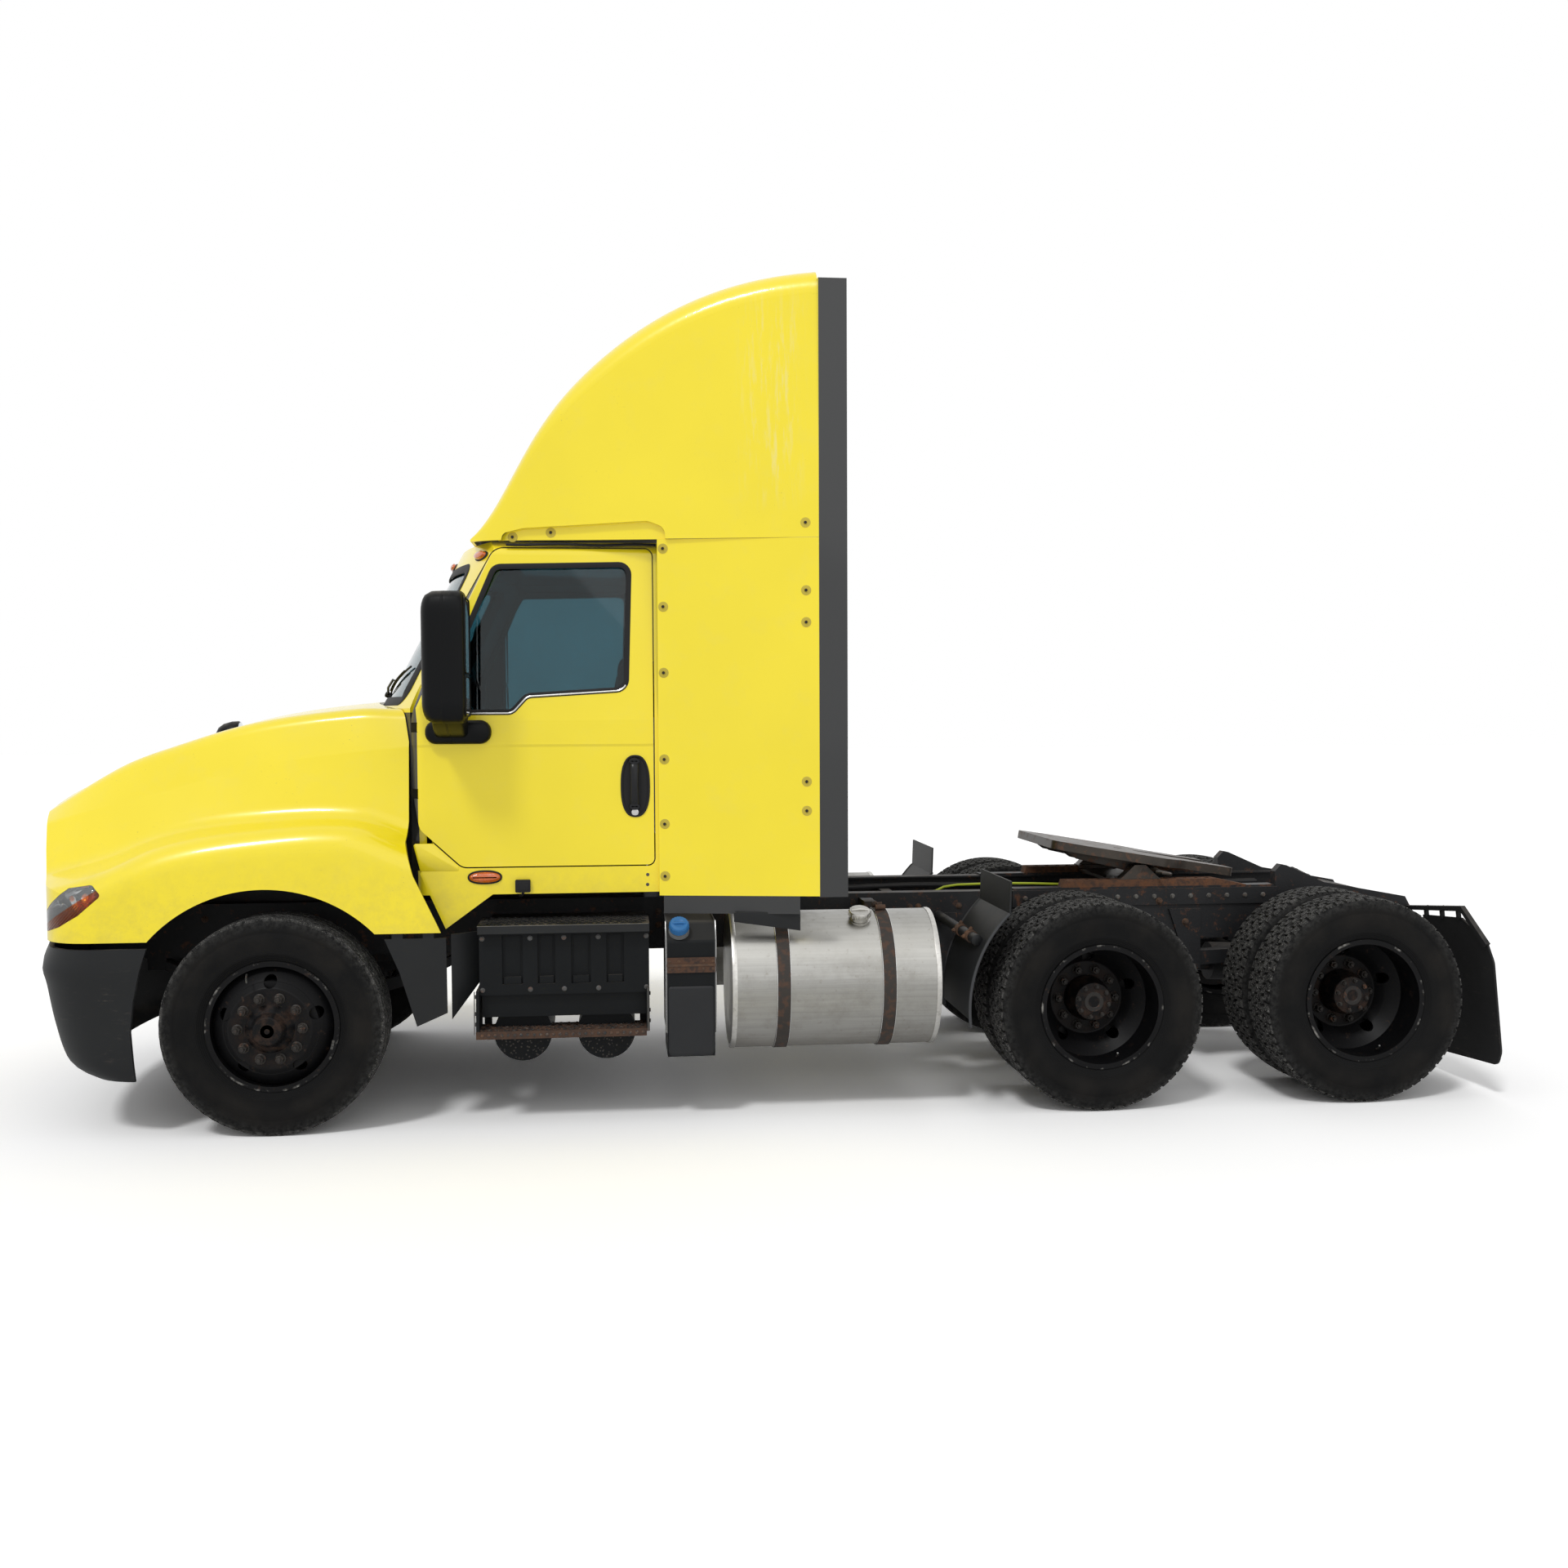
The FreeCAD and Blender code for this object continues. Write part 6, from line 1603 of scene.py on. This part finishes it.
@both_sides
def quarter_fender_pieces(side, name):
    edge, clamps = Shape(), Shape()
    for y in (623, 1222):
        edge.tube([P(-3875 + 651 * math.cos(t), side * y, 504 + 651 * math.sin(t))
                   for t in sweep(-7, 45, 24)], 0.0075, 8)
    edge.make("fender_edge_" + name, "fender_edge")
    start, end = P(-3232, side * 430, 860), P(-3281, side * 1120, 826)
    way = (end - start).normalized()
    for t in (0.62, 0.86):
        centre = start.lerp(end, t)
        clamps.lathe([(-0.022, 0.026), (-0.022, 0.031), (0.022, 0.031), (0.022, 0.026)], centre, way, 24)
        for out in (UP, AHEAD):
            clamps.hexnut(centre + out * 0.03, out, 0.011, 0.012, 0.006)
    clamps.make("fender_clamps_" + name, "rusty_bolt")
    plug = [(-0.03, 0.0262), (0.0, 0.028), (0.004, 0.027), (0.009, 0.02), (0.01, 0)]
    Shape().lathe(plug, end, way, 24).make("fender_plug_" + name, "black_plastic")


@both_sides
def flap_pieces(side, name):
    bolts, ribs = Shape(), Shape()

    def on_flap(y, z):
        return surface("mud_flap_" + name, P(-6300, side * y, z), AHEAD)
    for y, z in ((640, 820), (800, 833), (960, 846), (640, 877), (800, 895), (960, 913)):
        bolts.hexnut(*on_flap(y, z), 0.0125, 0.011, 0.007)
    bolts.make("flap_bolts_" + name, "pale_bolt")
    for y in (640, 1190):
        ribs.tube([on_flap(y, z)[0] + AHEAD * 0.001 for z in (240, 500, 740)], 0.004, 6)
    ribs.make("flap_ribs_" + name, "flap_rubber")


def tail_lamps():
    """Lamp bar between the rails at the tail."""
    def across(outline, x):
        return [P(x, y, z) for y, z in outline]
    bar = Shape().slab(across(rect(-338, 338, 745, 865, 10, 3), -5828), 0.014, 0, 0)
    lenses, bezel = Shape(), [(0, 0.056), (0.006, 0.056), (0.009, 0.052), (0.009, 0.049)]
    dome = [(0, 0.051), (0.008, 0.05), (0.014, 0.04), (0.017, 0.02), (0.0175, 0)]
    for y in (-270, -150, 150, 270):
        bar.lathe(bezel, P(-5828, y, 805), -AHEAD, ends=False)
        lenses.lathe(dome, P(-5828, y, 805), -AHEAD)
    bar.make("tail_lamp_bar", "frame_black")
    lenses.make("tail_lamps", "red_lens")
    clear = Shape().slab(across(rect(-48, 48, 770, 800, 6, 3), -5829), -0.008, 0, 0)
    clear.make("tail_plate_lamp", "lamp_glass_solid", bevel=0.001)


PLATE_TILT = math.radians(-9.5)
PLATE_PIVOT = P(-4330, 0, 1080)


def on_plate(x, y, z):
    """A place in the fifth wheel plate's level frame, brought to its resting tilt about the pivot."""
    c, s = math.cos(PLATE_TILT), math.sin(PLATE_TILT)
    up = z - 1080
    return PLATE_PIVOT + Vector((x * c + up * s, y, up * c - x * s)) / 1000


def fifth_wheel_pieces():
    jaws, handle, ribs = Shape(), Shape(), Shape()
    for side in (1, -1):
        ring = [(r * math.cos(a), side * r * math.sin(a))
                for r, way in ((70, sweep(25, 155, 10)), (27, sweep(155, 25, 10))) for a in way]
        jaws.loops([[on_plate(x, y, z) for x, y in ring] for z in (1112, 1150)])
    jaws.make("lock_jaws", "rusty_bolt", "fifth_wheel_plate", "greased_steel", bevel=0.003)
    rod = [(-60, 120, 1105), (-60, 330, 1102), (-66, 430, 1098), (-80, 500, 1090), (-110, 540, 1088),
           (-115, 565, 1088)]
    grip = [(-115, 560), (-95, 590), (-60, 590), (-40, 562), (-60, 535), (-105, 545)]
    handle.tube([on_plate(*p) for p in rod], 0.009)
    handle.tube([on_plate(x, y, 1088) for x, y in grip], 0.008, 8)
    handle.make("release_handle", "greased_steel", "fifth_wheel_plate")
    rib = ((-110, 1116), (400, 1116), (330, 1080), (60, 1064), (-80, 1084))
    for y in (-330, -200, 200, 330):
        ribs.slab([on_plate(x, y, z) for x, z in rib], 0, 0.014, 0)
    ribs.make("plate_ribs", "greased_dark", "fifth_wheel_plate", bevel=0.002)


# ---------------------------------------------------------------- cab inside
CLOTH_PRESSURE, CLOTH_FRAMES = 4.0, 20


def swollen(shape, cap, voxel=0.0085):
    """A closed form filled like a pad: cloth under pressure, with how far it may swell capped."""
    scene, obj = bpy.context.scene, shape.object("pad")

    def seen():
        return obj.evaluated_get(bpy.context.evaluated_depsgraph_get())
    remesh = obj.modifiers.new("even", "REMESH")
    remesh.mode, remesh.voxel_size = "VOXEL", voxel
    mesh = bpy.data.meshes.new_from_object(seen())
    obj.modifiers.clear()
    obj.data = mesh
    out = shape_of(mesh)
    settings = obj.modifiers.new("fill", "CLOTH").settings
    settings.use_pressure, settings.uniform_pressure_force = True, CLOTH_PRESSURE
    settings.effector_weights.gravity = 0.0
    settings.quality = 4
    for step in range(1, CLOTH_FRAMES + 1):
        scene.frame_set(step)
    moves = [v.co - p for v, p in zip(seen().data.vertices, out.verts)]
    drift = sum(moves, Vector()) / len(moves)
    moves = [move - drift for move in moves]
    out.verts = [p + d * min(1.0, cap / max(d.length, 1e-9)) for p, d in zip(out.verts, moves)]
    scene.frame_set(1)
    bpy.data.objects.remove(obj)
    return out


def sewn(shape, seams, depth=0.007, width=0.009):
    """Sewn channels pressed into a pad where each seam function of a point is near zero."""
    mesh = bpy.data.meshes.new("sewn")
    mesh.from_pydata([tuple(v) for v in shape.verts], [], shape.faces)
    shape.verts = [v.co - v.normal * depth * max(math.exp(-(seam(v.co) / width) ** 2) for seam in seams)
                   for v in mesh.vertices]
    bpy.data.meshes.remove(mesh)
    return shape


def pad_box(a, b, c, r):
    """Pad of the given half sizes with round corners in plan, drawn in at its top and bottom. Metres."""
    rings = []
    for t in [k / 6 for k in range(7)]:
        draw = r * (1 - math.sqrt(max(0.0, 1 - (2 * t - 1) ** 4)))
        plan = rect(draw - a, a - draw, draw - b, b - draw, r, 6)
        rings.append([Vector((x, y, 2 * c * t - c)) for x, y in plan])
    return Shape().loops(rings)


def across_seams(*places):
    """Two long seams, and cross seams between them."""
    return ([lambda c, y=y: c.y - y for y in (-0.155, 0.155)] +
            [lambda c, x=x: (c.x - x if abs(c.y) < 0.155 else 1.0) for x in places])


def seats():
    """Two sprung seats: pad, back and headrest as sewn cushions on a shell and a pedestal."""
    pad = sewn(swollen(pad_box(0.235, 0.235, 0.05, 0.06), 0.024), across_seams(-0.11, 0.02, 0.14))
    back = sewn(swollen(pad_box(0.335, 0.225, 0.04, 0.07), 0.024), across_seams(-0.16, 0.02, 0.2))
    rest = sewn(swollen(pad_box(0.075, 0.13, 0.034, 0.045), 0.012, 0.007), [lambda c: abs(c.y) - 0.09])
    lean = math.atan2(760, -135)
    upright = Matrix(((math.cos(lean), 0, math.sin(lean)), (0, 1, 0), (math.sin(lean), 0, -math.cos(lean))))
    level = Matrix.Rotation(math.radians(-3), 3, "Y")
    cushions = (("seat_cushion_", pad, "seat_cloth", level, (-1335, 1492)),
                ("seat_back_", back, "seat_cloth", upright, (-1600, 1905)),
                ("headrest_", rest, "seat_bolster", upright, (-1664, 2262)))
    for y, name in ((520, "left"), (-520, "right")):
        for start, shape, finish, lie, (x, z) in cushions:
            placed = Shape().add([lie @ v + P(x, y, z) for v in shape.verts], shape.faces)
            placed.make(start + name, finish, levels=1)
        seat_frame(y, name)


def seat_frame(y, name):
    base = Shape()

    def beam(points, half, steps=5):
        base.slab([P(x, y - half, z) for x, z in rounded(points, steps)], 0, half / 500, 0)
    beam([(-1592, 1422, 20), (-1100, 1422, 20), (-1086, 1452, 12), (-1592, 1440, 20)], 235, 4)
    beam([(-1596, 1500, 12), (-1572, 1500, 12), (-1672, 2190, 12), (-1700, 2190, 12)], 215, 4)
    for k in range(6):
        draw = 12 * (k % 2)
        fold = rect(-1540 + draw, -1180 - draw, y - 180 + draw, y + 180 - draw, 30, 4)
        base.slab([P(a, b, 1180 + 36 * k) for a, b in fold], 0, 0, 0.036)
    beam([(-1555, 1140), (-1160, 1140), (-1160, 1182), (-1555, 1182)], 190)
    beam([(-1555, 1394), (-1140, 1394), (-1120, 1424), (-1570, 1424)], 190)
    for bar_y in (y - 60, y + 60):
        base.tube([P(-1674, bar_y, 2150), P(-1690, bar_y, 2240)], 0.007, 8)
    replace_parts(base.make("seat_frame_" + name, "cab_trim_dark"), "seats")
    piping = Shape()
    for edge in (-155, 155):
        piping.tube([P(x, y + edge, 1566 - 0.02 * (x + 1335))
                     for x in (-1540, -1450, -1335, -1220, -1130)], 0.0022, 6)
    piping.make("seat_piping_" + name, "seat_bolster")


DASH_OUT, DASH_UP = Vector((-0.894, 0, 0.447)), Vector((0.447, 0, 0.894))
# y, height up the dash, radius
GAUGES = ((630, 30, 58), (485, 30, 58), (558, -40, 30), (410, 48, 26), (410, -14, 26), (705, 48, 26))


def on_dash(y, along, lift=0.0):
    return P(-810, y, 1800) + DASH_UP * along / 1000 + DASH_OUT * lift / 1000


def dashboard_pieces():
    """Gauges in a hood ahead of the wheel, vents and a switch field."""
    face, mark, trim = Shape(), Shape(), Shape()

    def hand(y, along, lift, degrees, low, high, thick):
        t = math.radians(degrees)
        way = Vector((0, math.cos(t), 0)) + DASH_UP * math.sin(t)
        mark.tube([on_dash(y, along, lift) + way * r for r in (low, high)], thick, 4)

    def bar(y, top, bottom, low, high, long):
        corners = ((top, low), (top, high), (bottom, high), (bottom, low))
        trim.slab([on_dash(y, *corner) for corner in corners], 0, long, 0)
    for y, along, r in GAUGES:
        s = r / 1000
        face.lathe([(0.002, 0), (0.002, s)], on_dash(y, along), DASH_OUT, 28, ends=False)
        ring = [(-0.004, s * 1.08), (0.008, s * 1.08), (0.011, s), (0.003, s * 0.98)]
        trim.lathe(ring, on_dash(y, along), DASH_OUT, 28, ends=False)
        for k in range(11):
            hand(y, along, 3, 215 - 25 * k, s * 0.78, s * 0.92, 0.0011)
        hand(y, along, 4, 190, 0, s * 0.7, 0.0013)
    for y in (180, 60, -120, -300, -520):
        for k in range(5):
            bar(y - 45, 60 - 14 * k, 54 - 14 * k, -2, 5, 0.09)
    for row in range(2):
        for k in range(6):
            bar(230 - 62 * k, -40 - 44 * row, -66 - 44 * row, -2, 6, 0.042)
    face.make("gauge_faces", "dial", smooth=False)
    mark.make("gauge_marks", "dial_marks", smooth=False)
    trim.make("dash_trim", "cab_trim_light", bevel=0.0008)


# ---------------------------------------------------------------- run
for build in (camera, studio, dress_nodes, tyres, wheel_fittings, hood_pieces, hood_mirror, bumper_piece,
              cab_corners, mirror_heads, mirrors, door_pieces, cab_side_pieces, panel_screws, marker_lamps,
              grille_mesh, windshield_seal, wipers, tank_pieces, def_pieces, step_pieces,
              frame_fasteners, air_lines, quarter_fender_pieces, flap_pieces, tail_lamps, fifth_wheel_pieces,
              seats, dashboard_pieces, brake_drums):
    build()
